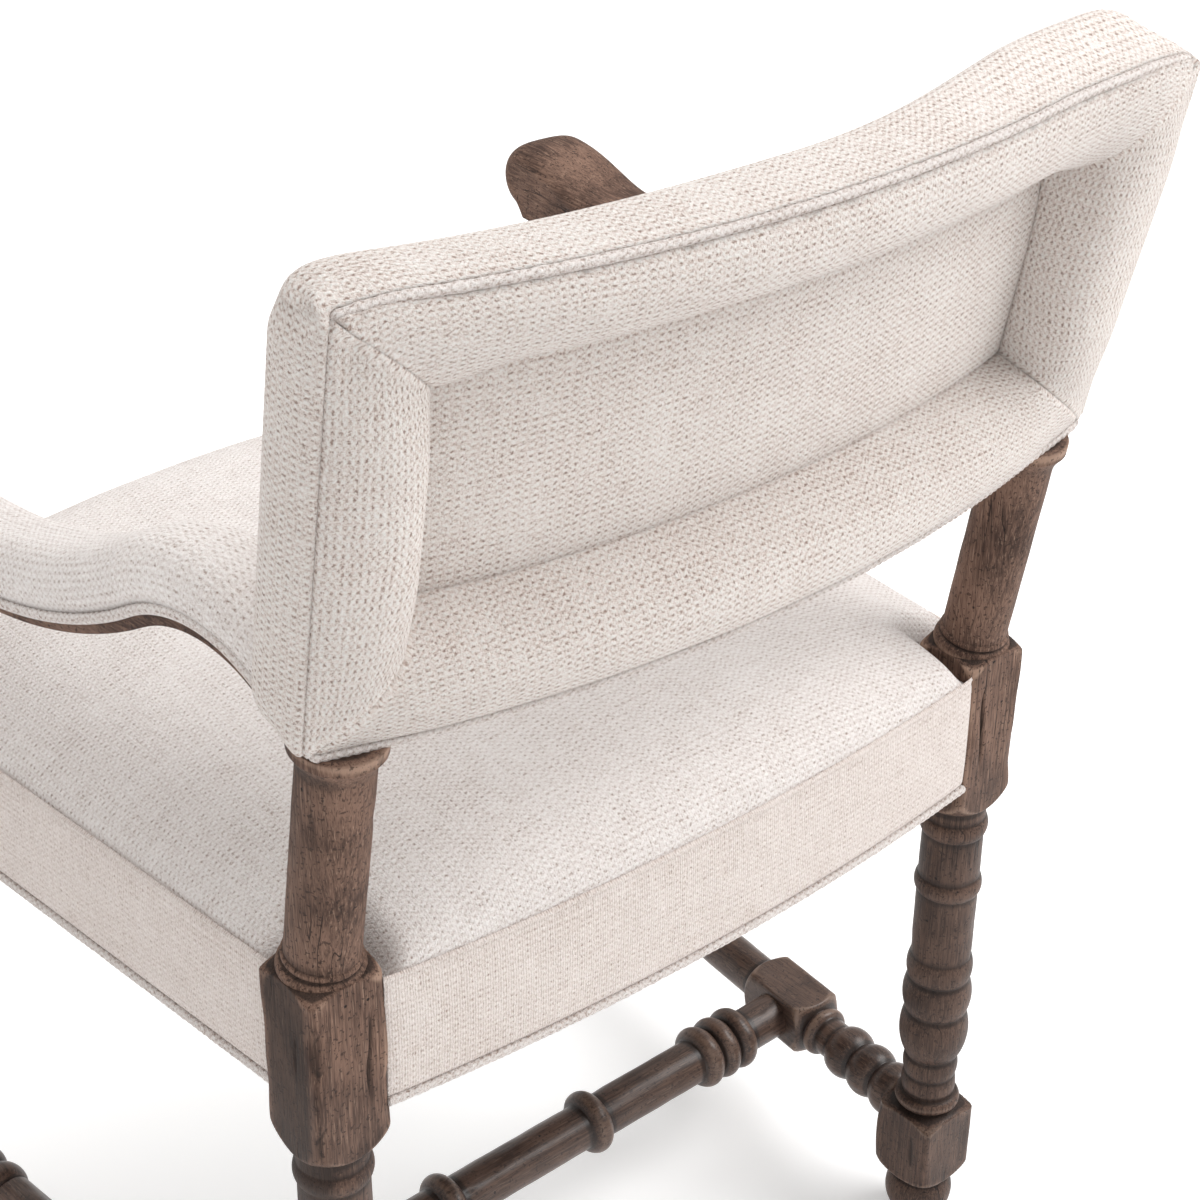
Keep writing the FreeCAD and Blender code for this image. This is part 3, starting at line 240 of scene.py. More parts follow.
def wood(name, along, dull, bright, dark, coat=0.5):
    """Stained wood whose grain runs along one axis, 0, 1 or 2, with a coat of wax near the floor.

    Tone = streaks and clouds from dark to dull, scratches and rubbed edges towards bright, then grooves,
    specks, cracks and worm holes towards black.
    """
    material, start = finish(name)
    place = start.node("TexCoord", out="Object")
    thin, long_grain = ([share if axis == along else 1.0 for axis in range(3)]
                        for share in (STREAK_SHARE, CRACK_SHARE))
    grain = place.stretched(thin)
    streak = grain.noise(560.0, 4.0, 0.65)
    fine = grain.noise(1500.0, 2.0)
    broad = place.noise(22.0, 3.0)
    crack_line = place.stretched(long_grain).noise(90.0, 1.0)
    crack = 1 - ((crack_line - 0.5).math("ABSOLUTE")).ramp(0.0, 0.009)
    crack = crack * place.noise(16.0, 1.0).ramp(0.54, 0.66)
    pore = grain.noise(1500.0, 1.0).ramp(0.54, 0.66)
    scratch = grain.noise(1250.0, 2.0).ramp(0.58, 0.72)
    holes = place.node("TexVoronoi", {"Vector": place, "Scale": 75.0}, out="Distance")
    hole = (1 - holes.ramp(0.06, 0.1)) * place.noise(9.0, 1.0).ramp(0.42, 0.54)
    speck = place.noise(430.0, 1.0).ramp(0.61, 0.68)
    mark = start.node("Attribute", out="Fac", attribute_name="mark")
    rubbed = (mark * (0.55 + streak * 0.9)).ramp(0.25, 0.95)
    # Painted shade: the marks below 0 darken the grooves, along with their dirt, and the outward faces and
    # the turnings under the seat.
    groove = (mark * -1.0).ramp(0.1, 1.0)
    tone = (streak * 0.9 + broad * 0.8 + fine * 0.3).ramp(0.72, 1.2).mix(dark, dull)
    tone = (pore * 0.65).mix(tone, dark)
    tone = (scratch * 0.5).mix(tone, bright)
    tone = (rubbed * 0.75).mix(tone, bright)
    tone = (groove * 0.72).mix(tone, GRIME_AND_SHADE)
    tone = (speck * 0.65).mix(tone, STAIN)
    tone = (crack.math("MAXIMUM", hole) * 0.92).mix(tone, PIT)
    low = 1 - start.node("SeparateXYZ", {0: place}, out="Z").ramp(WAXED_BELOW, DULL_ABOVE)
    tone = (low * 0.42).mix(tone, STAIN)
    height = streak * 0.4 + fine * 0.15 - pore * 0.25 - crack * 0.9 - hole * 1.0 - speck * 0.2
    rough = 0.58 + streak * 0.2 - rubbed * 0.08 - low * 0.14
    surface_of(start, {"Base Color": tone, "Roughness": rough, "Specular IOR Level": 0.18,
                       "Coat Weight": low * coat, "Coat Roughness": 0.3},
               height, GRAIN_DEPTH, 0.7)
    return material


WOOD_TONES = (colour(124, 97, 83), colour(160, 132, 114), colour(60, 43, 36))
UPRIGHT_WOOD = wood("weathered_upright", 2, *WOOD_TONES, coat=0.12)
LENGTHWISE_WOOD = wood("weathered_lengthwise", 1, *WOOD_TONES)
CROSSWISE_WOOD = wood("weathered_crosswise", 0, *WOOD_TONES)
BARE_WOOD = wood("sawn_frame", 0, colour(196, 164, 124), colour(214, 186, 148), colour(168, 132, 94))
print("wood", UPRIGHT_WOOD.name, LENGTHWISE_WOOD.name, CROSSWISE_WOOD.name, BARE_WOOD.name)

# %% [markdown]
# ## Cloth and plastic under the seat
# Jute straps cross under the cushion, a thin black cloth keeps the dust in, and each foot stands on a moulded
# glide.

# %% Under-seat finishes
def strap_cloth(name, light, shade, pitch):
    """Plain weave over the piece's cloth coordinates, one thread to a pitch."""
    material, start = finish(name)
    flat = start.node("UVMap", uv_map="weave")
    weft = start.node("SeparateXYZ", {0: flat})
    rows = (weft * (math.pi / pitch)).sine() * (weft.out("Y") * (math.pi / pitch)).sine()
    fray = flat.noise(900.0, 3.0)
    tone = (rows * 0.4 + fray).ramp(0.2, 0.9).mix(shade, light)
    surface_of(start, {"Base Color": tone, "Roughness": 0.95}, rows * 0.5 + fray * 0.5, 0.5 * MM, 0.6)
    return material


def moulded(name, tone, deep):
    """Hard plastic with a fine sprayed grain and scuffs."""
    material, start = finish(name)
    place = start.node("TexCoord", out="Object")
    grain = place.noise(1400.0, 2.0)
    scuff = place.stretched((1.0, 1.0, 0.2)).noise(160.0, 3.0).ramp(0.5, 0.75)
    surface_of(start, {"Base Color": scuff.mix(deep, tone), "Roughness": 0.45 + grain * 0.25},
               grain, 0.2 * MM, 0.4)
    return material


JUTE = strap_cloth("jute_strap", colour(178, 150, 112), colour(126, 100, 70), 1.6 * MM)
DUST_CLOTH = strap_cloth("dust_cloth", colour(38, 37, 37), colour(16, 16, 16), 0.8 * MM)
GLIDE = moulded("glide_plastic", colour(64, 54, 48), colour(34, 28, 25))
print("under the seat", JUTE.name, DUST_CLOTH.name, GLIDE.name)

# %% [markdown]
# ## From grids to meshes
# A piece is one or more patches. A patch is a grid of points, and every four neighbours make a face. Patches
# that share an edge are merged along it, so a closed shape stays closed, while the cloth coordinates of each
# patch may start afresh at a seam.

# %% Patches and meshes
MERGED, SLIVER = 0.005 * MM, 0.001 * MM


def patch(points, flat=None, mark=None):
    """A grid of points in millimetres, with cloth coordinates and a mark for each point."""
    rows, columns = points.shape[:2]
    flat = np.zeros((rows, columns, 2)) if flat is None else flat
    mark = np.zeros((rows, columns)) if mark is None else np.broadcast_to(mark, (rows, columns))
    return points.reshape(-1, 3), flat.reshape(-1, 2), mark.reshape(-1), (rows, columns)


def build(name, patches, material):
    """Make one object from patches: face (i, j) joins points (i, j), (i+1, j), (i+1, j+1), (i, j+1)."""
    first, faces = 0, []
    for *_, (rows, columns) in patches:
        index = first + np.arange(rows * columns).reshape(rows, columns)
        quads = joined(index[:-1, :-1], index[1:, :-1], index[1:, 1:], index[:-1, 1:])
        faces.append(quads.reshape(-1, 4))
        first += rows * columns
    faces = np.concatenate(faces)
    points, flat, mark = (np.concatenate([part[k] for part in patches]) for k in range(3))
    mesh = bpy.data.meshes.new(name)
    mesh.vertices.add(len(points))
    mesh.vertices.foreach_set("co", (points * MM).ravel())
    mesh.loops.add(faces.size)
    mesh.loops.foreach_set("vertex_index", faces.ravel())
    mesh.polygons.add(len(faces))
    mesh.polygons.foreach_set("loop_start", np.arange(len(faces)) * 4)
    mesh.uv_layers.new(name="weave").data.foreach_set("uv", (flat * MM)[faces.ravel()].ravel())
    mesh.attributes.new("mark", "FLOAT", "POINT").data.foreach_set("value", mark)
    mesh.update()
    work = bmesh.new()
    work.from_mesh(mesh)
    bmesh.ops.remove_doubles(work, verts=work.verts, dist=MERGED)
    bmesh.ops.dissolve_degenerate(work, edges=work.edges, dist=SLIVER)
    bmesh.ops.recalc_face_normals(work, faces=work.faces)
    open_edges = sum(edge.is_boundary for edge in work.edges)
    work.to_mesh(mesh)
    work.free()
    mesh.shade_smooth()
    mesh.materials.append(material)
    thing = bpy.data.objects.new(name, mesh)
    bpy.context.collection.objects.link(thing)
    print(f"{name}: {len(mesh.vertices)} points, {len(mesh.polygons)} faces, {open_edges} open edges")
    return thing


def piece(name, node, patches, material):
    """Build an object that stands for a CAD node, hides the node and rides on the chair."""
    thing = build(name, patches, material)
    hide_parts(node)
    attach(thing, "root")
    return thing


def joined(*parts):
    """Sets of values spread over one grid and joined into its points."""
    return np.stack(np.broadcast_arrays(*parts), axis=-1)


def bell(share):
    """1 at 0, falling off to both sides."""
    return np.exp(-share ** 2)


def smooth(share):
    """0 to 1 with level ends."""
    share = np.clip(share, 0.0, 1.0)
    return share * share * (3.0 - 2.0 * share)


def ripple(points, reach, seed, waves=14):
    """Soft lumps about a reach across: the mean of sine waves in seeded directions, between -1 and 1."""
    draw = np.random.default_rng(seed)
    aim = draw.normal(size=(waves, 3))
    length = np.linalg.norm(aim, axis=1, keepdims=True)
    aim *= (2.0 * math.pi / reach) * draw.uniform(0.6, 1.4, (waves, 1)) / length
    start = draw.uniform(0.0, 2.0 * math.pi, waves)
    return np.sin(points @ aim.T + start).mean(axis=-1) * math.sqrt(waves) / 2.0


def run_length(points):
    """How far along its rows each point of a grid lies, in millimetres."""
    steps = np.linalg.norm(np.diff(points, axis=0), axis=-1)
    return np.concatenate([np.zeros((1, points.shape[1])), np.cumsum(steps, axis=0)])


def length_along(line):
    """How far along a line each of its points lies."""
    return run_length(line[:, None])[:, 0]


def cloth_runs(points):
    """Cloth coordinates of a grid: how far each point lies from the middle row and from the middle column."""
    along, across = run_length(points), run_length(points.transpose(1, 0, 2)).T
    return joined(along - along[len(along) // 2], across - across[:, across.shape[1] // 2, None])


def capped(points):
    """A grid of closed rings with its two end rings drawn together to a point."""
    first, last = (np.broadcast_to(ring.mean(axis=1, keepdims=True), ring.shape)
                   for ring in (points[:1], points[-1:]))
    return np.concatenate([first, points, last])


def ring_patch(points, flat, mark=None):
    """A patch of closed rings, capped at both ends. A cap takes its ring's cloth coordinates and marks."""
    flat = np.pad(flat, ((1, 1), (0, 0), (0, 0)), mode="edge")
    mark = None if mark is None else np.pad(mark, ((1, 1), (0, 0)), mode="edge")
    return patch(capped(points), flat, mark)


def closed_pair(face, under, flat, mark=None):
    """The patches of two sheets on the same grid, closed round their four edges."""
    edges = [(sheet[0], sheet[-1], sheet[:, 0], sheet[:, -1]) for sheet in (face, under)]
    return [patch(face, flat, mark), patch(under, flat)] + [patch(np.stack(pair)) for pair in zip(*edges)]


def crowded_ends(count, pull=0.8):
    """Shares from -1 to 1, closer together towards both ends."""
    share = np.linspace(-1.0, 1.0, count)
    return (1.0 - pull) * share + pull * np.sin(share * math.pi / 2.0)


# %% [markdown]
# ## Turned legs
# Each leg is square stock put on a lathe. A cut of the turner's profile is straight, or a circle's arc for a
# bead, a ring or a hollow.

# %% The turner's profile
BLOCK_TOP, BLOCK = 500.0, 50.8
REAR_X, REAR_Y, FRONT_X, FRONT_Y = 260.0, 203.08, 303.5, -252.92
RAKE = math.radians(9.6)
ARRIS = BLOCK / math.sqrt(2.0) - 0.7
GLIDE_HEIGHT, FOOT_RADIUS = 6.0, 17.0
POST_FOOT, POST_RADIUS = -10.0, 21.3
PROFILE_STEP, STEP = 0.8, 0.2


def turning(start, radius, cuts):
    """Heights and radii of a turned profile.

    A cut is (length, next radius, crest). With a crest it is the circle through both ends and the crest
    halfway; without one it is straight, and one as short as STEP is a square shoulder.
    """
    heights, radii = [np.array([start])], [np.array([radius])]
    for length, after, crest in cuts:
        steps = max(2, int(math.ceil(length / PROFILE_STEP)) + 1)
        share = np.linspace(0.0, 1.0, steps)[1:]
        chord = radius + (after - radius) * share
        if crest is None:
            bulge = 0.0
        else:
            rise = crest - (radius + after) / 2.0
            half = math.hypot(length, after - radius) / 2.0
            size = (half * half + rise * rise) / (2.0 * abs(rise))
            along = (2.0 * share - 1.0) * half
            height = np.sqrt(np.maximum(size * size - along * along, 0.0)) - (size - abs(rise))
            bulge = np.copysign(height, rise)
        heights.append(start + length * share)
        radii.append(chord + bulge)
        start, radius = start + length, after
    return np.concatenate(heights), np.concatenate(radii)


LEG_CUTS = [
    (36, 17, 24.5), (12, ARRIS, 30.5), (48, ARRIS, None), (6, 18.2, None), (11, 18.2, 23.4),
    (17, 18.2, 19.8), (17, 18.2, 19.8), (41, 21.6, 24.6), (30, 21.6, 24.6), (20, 21.3, 23.5),
    (56, 21.3, None), (14, 21.3, 23.5), (36, 21.3, None), (14, 21.3, 23.5), (10, 21.3, None),
    (18, ARRIS, 30.5), (102, ARRIS, None), (6, 26, None),
]
ARM_POST_CUTS = [
    (STEP, 20.5, None), (12, 16.5, 25.2), (108, 16.5, 23), (12, 16.5, 21), (12, 18, 18.5), (STEP, 10, None),
    (22, 10, None),
]
POST_CUTS = [
    (5, 21.3, None), (12, 21.3, 25.2), (5, 21.3, 22.8), (130.7, 21.3, None), (14, 26.5, 22.6),
    (7, 26.5, None), (STEP, 20, None),
]
leg_ends = turning(GLIDE_HEIGHT, FOOT_RADIUS, LEG_CUTS)[0][[0, -1]]
print("leg profile", [round(float(v), 1) for v in leg_ends])

# %% [markdown]
# ## The lathe
# A point's distance from the axis is the smaller of two: the turner's profile at that height, and the square
# stock at that angle. Where the profile is wider than the square, the block stays square, and the shoulder
# between them comes out by itself. Wear rounds the arrises unevenly and leaves dents and gouges.

# %% Wear and the lathe
ANGLES = 112
CORNER_PULL, GOUGE_PULL, GOUGE_REACH = 0.7, 0.65, 0.15
EASE = 0.35
WEAR_MEAN, WEAR_SWING, WEAR_LIMITS = 11.0, 9.0, (7.0, 30.0)
WEAR_ROUND, WEAR_REACH = 90.0, 55.0
RUB_START, RUB_SPAN, SINK_START, SINK_LEAST = 0.25, 1.7, 0.12, 0.02
DENT_SIZES, DENT_DEPTHS, DENT_GRAIN = (1.2, 4.0), (0.1, 0.55), 0.3
GOUGE_SLANT, GOUGE_MARK = 0.06, 1.6
LUMP_HEIGHT, LUMP_REACH = 0.18, 26.0


def blurred(values, rows, columns):
    """A grid averaged over a box of rows and columns; columns go round."""
    reach = np.arange(-columns, columns + 1)
    values = sum(np.roll(values, shift, axis=1) for shift in reach) / len(reach)
    padded = np.pad(values, ((rows + 1, rows), (0, 0)), mode="edge").cumsum(axis=0)
    return (padded[2 * rows + 1:] - padded[:-2 * rows - 1]) / (2 * rows + 1)


def swing_from(turn, aim):
    """The angles from an aim, from minus half a turn to half a turn."""
    return (turn - aim + math.pi) % (2.0 * math.pi) - math.pi


def lathe(start, radius, cuts, stock, seed, dents=60, gouges=()):
    """A worn turned piece about the Z axis: grid of heights by angles, and its marks.

    Distance from the axis = smooth smaller of the profile and a square whose corners are rounded by wear,
    less a scatter of round dents and a few gouges along the grain, each (height, angle, half length, width,
    depth). The mark is above 0 where a point stands out of its surroundings, below 0 in grooves and gouges.
    """
    heights, radii = turning(start, radius, cuts)
    draw = np.random.default_rng(seed)
    turn = np.linspace(0.0, 2.0 * math.pi, ANGLES + 1)[:-1]
    turn = turn + CORNER_PULL * np.sin(4.0 * turn) / 4.0
    for _, aim, *_ in gouges:
        turn = turn - GOUGE_PULL * (turn - aim) * bell((turn - aim) / GOUGE_REACH)
    high = heights[:, None]
    wear = ripple(joined(high, WEAR_ROUND * np.sin(turn), WEAR_ROUND * np.cos(turn)), WEAR_REACH, seed)
    wear = np.clip(WEAR_MEAN + WEAR_SWING * wear, *WEAR_LIMITS)
    square = stock / 2.0 * (np.abs(np.cos(turn)) ** wear + np.abs(np.sin(turn)) ** wear) ** (-1.0 / wear)
    reach = -EASE * np.logaddexp(-radii[:, None] / EASE, -square / EASE)
    rubbed = np.clip((reach - blurred(reach, 8, 6) - RUB_START) / RUB_SPAN, 0.0, 1.0)
    sunk = np.clip(blurred(reach, 9, 0) - reach - SINK_START, 0.0, 1.0)
    mark = np.where(sunk > SINK_LEAST, -sunk, rubbed)
    span = heights[-1] - heights[0]
    for _ in range(dents):
        spot, aim = heights[0] + span * draw.uniform(), draw.uniform(-math.pi, math.pi)
        size, depth = draw.uniform(*DENT_SIZES), draw.uniform(*DENT_DEPTHS)
        off = np.abs(swing_from(turn, aim)) * reach
        reach = reach - depth * np.exp(-((high - spot) ** 2 * DENT_GRAIN + off ** 2) / (2.0 * size * size))
    for spot, aim, length, wide, deep in gouges:
        off = swing_from(turn, aim) * reach - GOUGE_SLANT * (high - spot)
        cut = bell(off / wide) * np.sqrt(np.clip(1.0 - ((high - spot) / length) ** 2, 0.0, 1.0))
        reach, mark = reach - deep * cut, mark - GOUGE_MARK * cut
    points = joined(reach * np.cos(turn), reach * np.sin(turn), high)
    lumps = LUMP_HEIGHT * ripple(points, LUMP_REACH, seed + 1)[..., None]
    points = points + lumps * joined(np.cos(turn), np.sin(turn), 0.0)
    points, mark = (np.concatenate([grid, grid[:, :1]], axis=1) for grid in (points, mark))
    return capped(points), np.pad(mark, ((1, 1), (0, 0)), mode="edge")


def lean(across, out, up):
    """A point of the raked back: across, behind the posts' axis, and up along them from the block tops."""
    return joined(across, REAR_Y + out * math.cos(RAKE) + up * math.sin(RAKE),
                  BLOCK_TOP + up * math.cos(RAKE) - out * math.sin(RAKE))


# %% [markdown]
# ## The four legs
# A rear leg is two turnings: the leg up to its block, and the raked post that carries the back. The faces
# turned outward and the turnings below the seat are darkened with painted shade.

# %% Legs
SHADED_BELOW, SHADE_FADE, UNDER_SEAT_SHADE = 385.0, 30.0, 0.38
REAR_FACE_SHADE, POST_FACE_SHADE, FRONT_FACE_SHADE = 0.85, 0.4, 0.6


def outward_shade(points, mark, amount):
    """The marks, lowered as painted shade on the faces turned away from the chair's middle."""
    outward = points[..., 0] / np.maximum(np.hypot(points[..., 0], points[..., 1]), 1.0)
    return mark - amount * smooth((outward - 0.35) / 0.5)


def leg_patch(x, y, sign, cuts, face_shade, seed, **wear):
    """A leg stood in its place, its marks lowered as painted shade outward and all round below the seat."""
    points, mark = lathe(GLIDE_HEIGHT, FOOT_RADIUS, cuts, BLOCK, seed, **wear)
    # Painted shade: darker on the faces turned outward, and all round on the turnings under the seat.
    mark = outward_shade(points, mark, face_shade)
    mark = mark - UNDER_SEAT_SHADE * smooth((SHADED_BELOW - points[..., 2]) / SHADE_FADE)
    return patch((points + (x, y, 0.0)) * (sign, 1.0, 1.0), None, mark)


LEG_GOUGES = [(446.0, 2.0, 34.0, 0.85, 3.0), (452.0, 0.3, 15.0, 0.7, 1.2), (78.0, 2.75, 14.0, 0.8, 1.5)]
for side, sign, seed in (("left", 1.0, 11), ("right", -1.0, 23)):
    leg = leg_patch(REAR_X, REAR_Y, sign, LEG_CUTS, REAR_FACE_SHADE, seed, gouges=LEG_GOUGES)
    post, mark = lathe(POST_FOOT, POST_RADIUS, POST_CUTS, 2.0 * BLOCK, seed + 1, dents=25)
    # Painted shade on the post's outward faces.
    mark = outward_shade(post, mark, POST_FACE_SHADE)
    post = lean(post[..., 0] + REAR_X, post[..., 1], post[..., 2]) * (sign, 1.0, 1.0)
    piece(f"rear_leg_worn_{side}", f"rear_leg_{side}", [leg, patch(post, None, mark)], UPRIGHT_WOOD)
    leg = leg_patch(FRONT_X, FRONT_Y, sign, LEG_CUTS + ARM_POST_CUTS, FRONT_FACE_SHADE, seed + 5, dents=80)
    piece(f"front_leg_worn_{side}", f"front_leg_{side}", [leg], UPRIGHT_WOOD)

# %% [markdown]
# ## Stretchers
# Two turned rails join the front legs to the rear ones, and a third crosses between their square blocks. They
# are the same lathe work laid on its side.

# %% Stretchers
STRETCHER_Z, CROSS_Y, CROSS_STOCK = 91.0, 48.08, 42.0
FLARE = math.atan2(FRONT_X - REAR_X, REAR_Y - FRONT_Y)
CROSS_CORNER = CROSS_STOCK / math.sqrt(2.0) - 0.7
SIDE_START, CROSS_START, TENON_RADIUS = 9.4, -269.79, 9.0
BEAD, RING = (25, 15, 20.5), (17, 17, 24)
SIDE_CUTS = [
    (13, 9, None), (STEP, 15, None), BEAD, BEAD, BEAD, (STEP, 17, None), (169.97, 17, None),
    (8, CROSS_CORNER, None), (54, CROSS_CORNER, None), (8, 15, None), (10, 15, 19.5), (12.9, 15, None),
    BEAD, BEAD, BEAD, (STEP, 9, None), (13, 9, None),
]
CROSS_HALF = [(13, 9, None), (STEP, 17, None), (36.09, 17, None), RING, RING, RING, (94.5, 17, None), RING]
CROSS_CUTS = CROSS_HALF + [(116, 17, None), RING, (94.5, 17, None), RING, RING, RING, (36.09, 17, None),
                           (STEP, 9, None), (13, 9, None)]


def flared(x, y, across, ahead, high, sign):
    """Points beside a line that runs forward from (x, y) and outward by the flare of the chair's sides."""
    return joined(sign * (x + across * math.cos(FLARE) + ahead * math.sin(FLARE)),
                  y + across * math.sin(FLARE) - ahead * math.cos(FLARE), high)


for side, sign, seed in (("left", 1.0, 41), ("right", -1.0, 47)):
    bar, mark = lathe(SIDE_START, TENON_RADIUS, SIDE_CUTS, CROSS_STOCK, seed)
    bar = flared(FRONT_X, FRONT_Y, bar[..., 0], -bar[..., 2], STRETCHER_Z + bar[..., 1], sign)
    piece(f"side_stretcher_worn_{side}", f"side_stretcher_{side}", [patch(bar, None, mark)], LENGTHWISE_WOOD)
bar, mark = lathe(CROSS_START, TENON_RADIUS, CROSS_CUTS, 4.0 * CROSS_STOCK, 53)
bar = joined(bar[..., 2], CROSS_Y + bar[..., 0], STRETCHER_Z + bar[..., 1])
piece("cross_stretcher_worn", "cross_stretcher", [patch(bar, None, mark)], CROSSWISE_WOOD)

# %% [markdown]
# ## The back's cover
# The inside of the back is one piece of cloth pulled over the front and round the edges to a seam at the
# rear. Its surface is a set of rings: each is the back's rounded outline, drawn in by an inset and set at a
# depth. Four patches run from ring to ring and meet at the corners, where a line of painted shade stands for
# a pleat; painted shade also darkens the lip along the rear seam. The stuffing is not the same on both
# sides: the top corners droop, and the sitter's right end is spread, bent back and stuffed higher and
# thicker along the top.

# %% Back cover
BACK_R, BACK_REAR, BACK_HALF, BACK_LOW, BACK_HIGH = 1080.0, 45.0, 288.0, 164.0, 423.0
BACK_MID, BACK_TALL = (BACK_LOW + BACK_HIGH) / 2.0, (BACK_HIGH - BACK_LOW) / 2.0


def rear_face(across, depth):
    """How far behind the posts' axis the back's rear face is, less a depth: an arc about an upright axis."""
    return np.sqrt((BACK_R - depth) ** 2 - across ** 2) + BACK_REAR - BACK_R


def ring_side(half_long, half_short, corner, count, turns=7):
    """One side of a rounded rectangle, from the middle of one corner to the middle of the next."""
    swing = np.linspace(math.pi / 4.0, 0.0, turns)
    reach, bend = half_long - corner, corner * np.sin(swing)
    rise = half_short - corner + corner * np.cos(swing)
    along = np.concatenate([-reach - bend, np.linspace(-1.0, 1.0, count)[1:-1] * reach, reach + bend[::-1]])
    return along, np.concatenate([rise, np.full(count - 2, half_short), rise[::-1]])


FRONT_DEPTH, BACK_CROWN = 50.4, 13.0
LIP_ROWS, LIP_SHADES, PLEAT_SHADE = slice(3, 6), np.array([0.5, 0.55, 0.3]), 0.15
LIP_CORNER, FRONT_CORNER = 9.0, 26.0
INNERMOST = BACK_TALL - 0.002


def edge_rows(lip, wall, bend_in, bend_deep):
    """Rows of (inset, depth) over one kind of edge: a hidden back plate, the lip at the rear seam, the wall
    of the edge, and an elliptic bend that runs out into the flat front."""
    start = wall[-1][0]
    rows = [(INNERMOST, 43.0), (70.0, 43.0), (62.0, 40.0)] + lip + wall
    for angle in np.linspace(0.0, math.pi / 2.0, 12)[1:]:
        rows.append((start + bend_in * (1.0 - math.cos(angle)),
                     FRONT_DEPTH - bend_deep * (1.0 - math.sin(angle))))
    rows += [(inset, FRONT_DEPTH) for inset in np.linspace(start + bend_in, INNERMOST, 20)[1:]]
    return np.array(rows)


LONG_WALL, SIDE_WALL = [], []
for t in np.linspace(0.12, 1.0, 9):
    LONG_WALL.append((-1.4 * math.sin(math.pi * t), 4.4 + 27.0 * t))
    bend = t * math.pi / 2.0
    SIDE_WALL.append((-9.0 + 8.0 * (1.0 - math.sin(bend)), 17.0 - 21.5 * math.cos(bend)))
LONG_EDGE = edge_rows([(5.0, 9.0), (1.2, 5.0), (0.0, 4.4)], LONG_WALL, 19.0, 19.0)
SIDE_EDGE = edge_rows([(4.0, 4.0), (0.6, -1.0), (-1.0, -3.6)], SIDE_WALL, 34.0, 33.4)
DROOP, BENT_BACK, SPREAD, THICKER = 5.0, 13.0, 10.0, 15.0
LIFT_ALL, LIFT_MIDDLE, LIFT_RIGHT = 2.0, 3.6, 2.5


def on_back(across, depth, up):
    """A point of the stuffed back at a depth below its rear face, moved as the stuffing is.

    Each move = its full size by shares that grow smoothly across the back, up it and towards its front.
    """
    across, depth, up = np.broadcast_arrays(across, depth, up)
    upper, front = smooth((up - BACK_MID) / BACK_TALL), smooth((depth - 6.0) / 40.0)
    lift = LIFT_ALL + LIFT_MIDDLE * smooth((230.0 - across) / 220.0)
    lift = (lift + LIFT_RIGHT * smooth((-across - 60.0) / 150.0)) * upper * front
    depth = depth + THICKER * smooth(-across / 230.0) * upper * front
    droop = DROOP * smooth((np.abs(across) - 240.0) / 48.0) ** 2 * upper
    bent = BENT_BACK * smooth((-across - 170.0) / 130.0) * smooth((up - BACK_LOW) / (2.0 * BACK_TALL))
    spread = SPREAD * smooth((-across - 225.0) / 63.0)
    return lean(across - spread, rear_face(across, depth) + bent, up + lift - droop)


def rounded_corner(across, up):
    """The same places with the square corners of the back's outline turned into arcs."""
    half = BACK_HALF - LIP_CORNER, BACK_TALL - LIP_CORNER
    out = np.abs(across) - half[0], np.abs(up - BACK_MID) - half[1]
    share = np.maximum(*out) / np.maximum(np.hypot(*out), 1e-6)
    share = np.where((out[0] > 0.0) & (out[1] > 0.0), share, 1.0)
    pulled = [np.where(share < 1.0, gap * share, gap) for gap in out]
    return np.sign(across) * (pulled[0] + half[0]), BACK_MID + np.sign(up - BACK_MID) * (pulled[1] + half[1])


def back_cover():
    """The four patches of the cover."""
    patches = []
    for long_side, flip in ((True, 1.0), (False, 1.0), (True, -1.0), (False, -1.0)):
        grid = []
        for row, ((long_in, long_deep), (side_in, side_deep)) in enumerate(zip(LONG_EDGE, SIDE_EDGE)):
            half_wide, half_tall = BACK_HALF - side_in, BACK_TALL - long_in
            corner = LIP_CORNER + (FRONT_CORNER - LIP_CORNER) * float(smooth((row - LIP_ROWS.stop) / 7.0))
            corner = min(max(1.0, corner - 0.5 * max(long_in, 0.0)), half_wide, half_tall)
            half_long, half_short = (half_wide, half_tall) if long_side else (half_tall, half_wide)
            along, off = ring_side(half_long, half_short, corner, 150 if long_side else 70)
            across, rise = (flip * along, flip * off) if long_side else (flip * off, -flip * along)
            from_side, from_long = half_wide - np.abs(across), half_tall - np.abs(rise)
            sideways = (from_long + 1e-6) / (from_long + from_side + 2e-6)
            depth = long_deep + (side_deep - long_deep) * smooth(sideways)
            share = [np.clip(np.abs(v), 0.0, 1.0) for v in (across / BACK_HALF, rise / BACK_TALL)]
            front = smooth((depth - 46.0) / 4.4)
            crown = BACK_CROWN * front * (1.0 - share[0] ** 3) * (1.0 - share[1] ** 2.5)
            grid.append(on_back(across, depth + crown, BACK_MID + rise))
        grid = np.array(grid)
        flat = cloth_runs(grid)[..., ::-1]
        flat[..., 1] = flat[:, flat.shape[1] // 2, None, 1]
        seam = np.zeros(grid.shape[:2])
        # Painted shade: the lip rows at the rear seam and the corner lines of the pleats are darkened.
        seam[LIP_ROWS] = LIP_SHADES[:, None] * (0.1 if long_side else 0.3)
        seam[LIP_ROWS.stop:-12, (0, -1)] = PLEAT_SHADE
        patches.append(patch(grid, flat if long_side else flat[..., ::-1], seam))
    return patches


piece("back_cover", "back_cushion", back_cover(), COVER)

# %% [markdown]
# ## The mitred border and the sunk panel
# Behind, a stuffed roll runs round the back like a picture frame, cut at 45 degrees in the corners and sewn.
# One section is carried along each side; at a distance inward from the rim, the roll is shorter by that much
# at both ends, which gives the mitres. A flat panel lies sunk inside it.

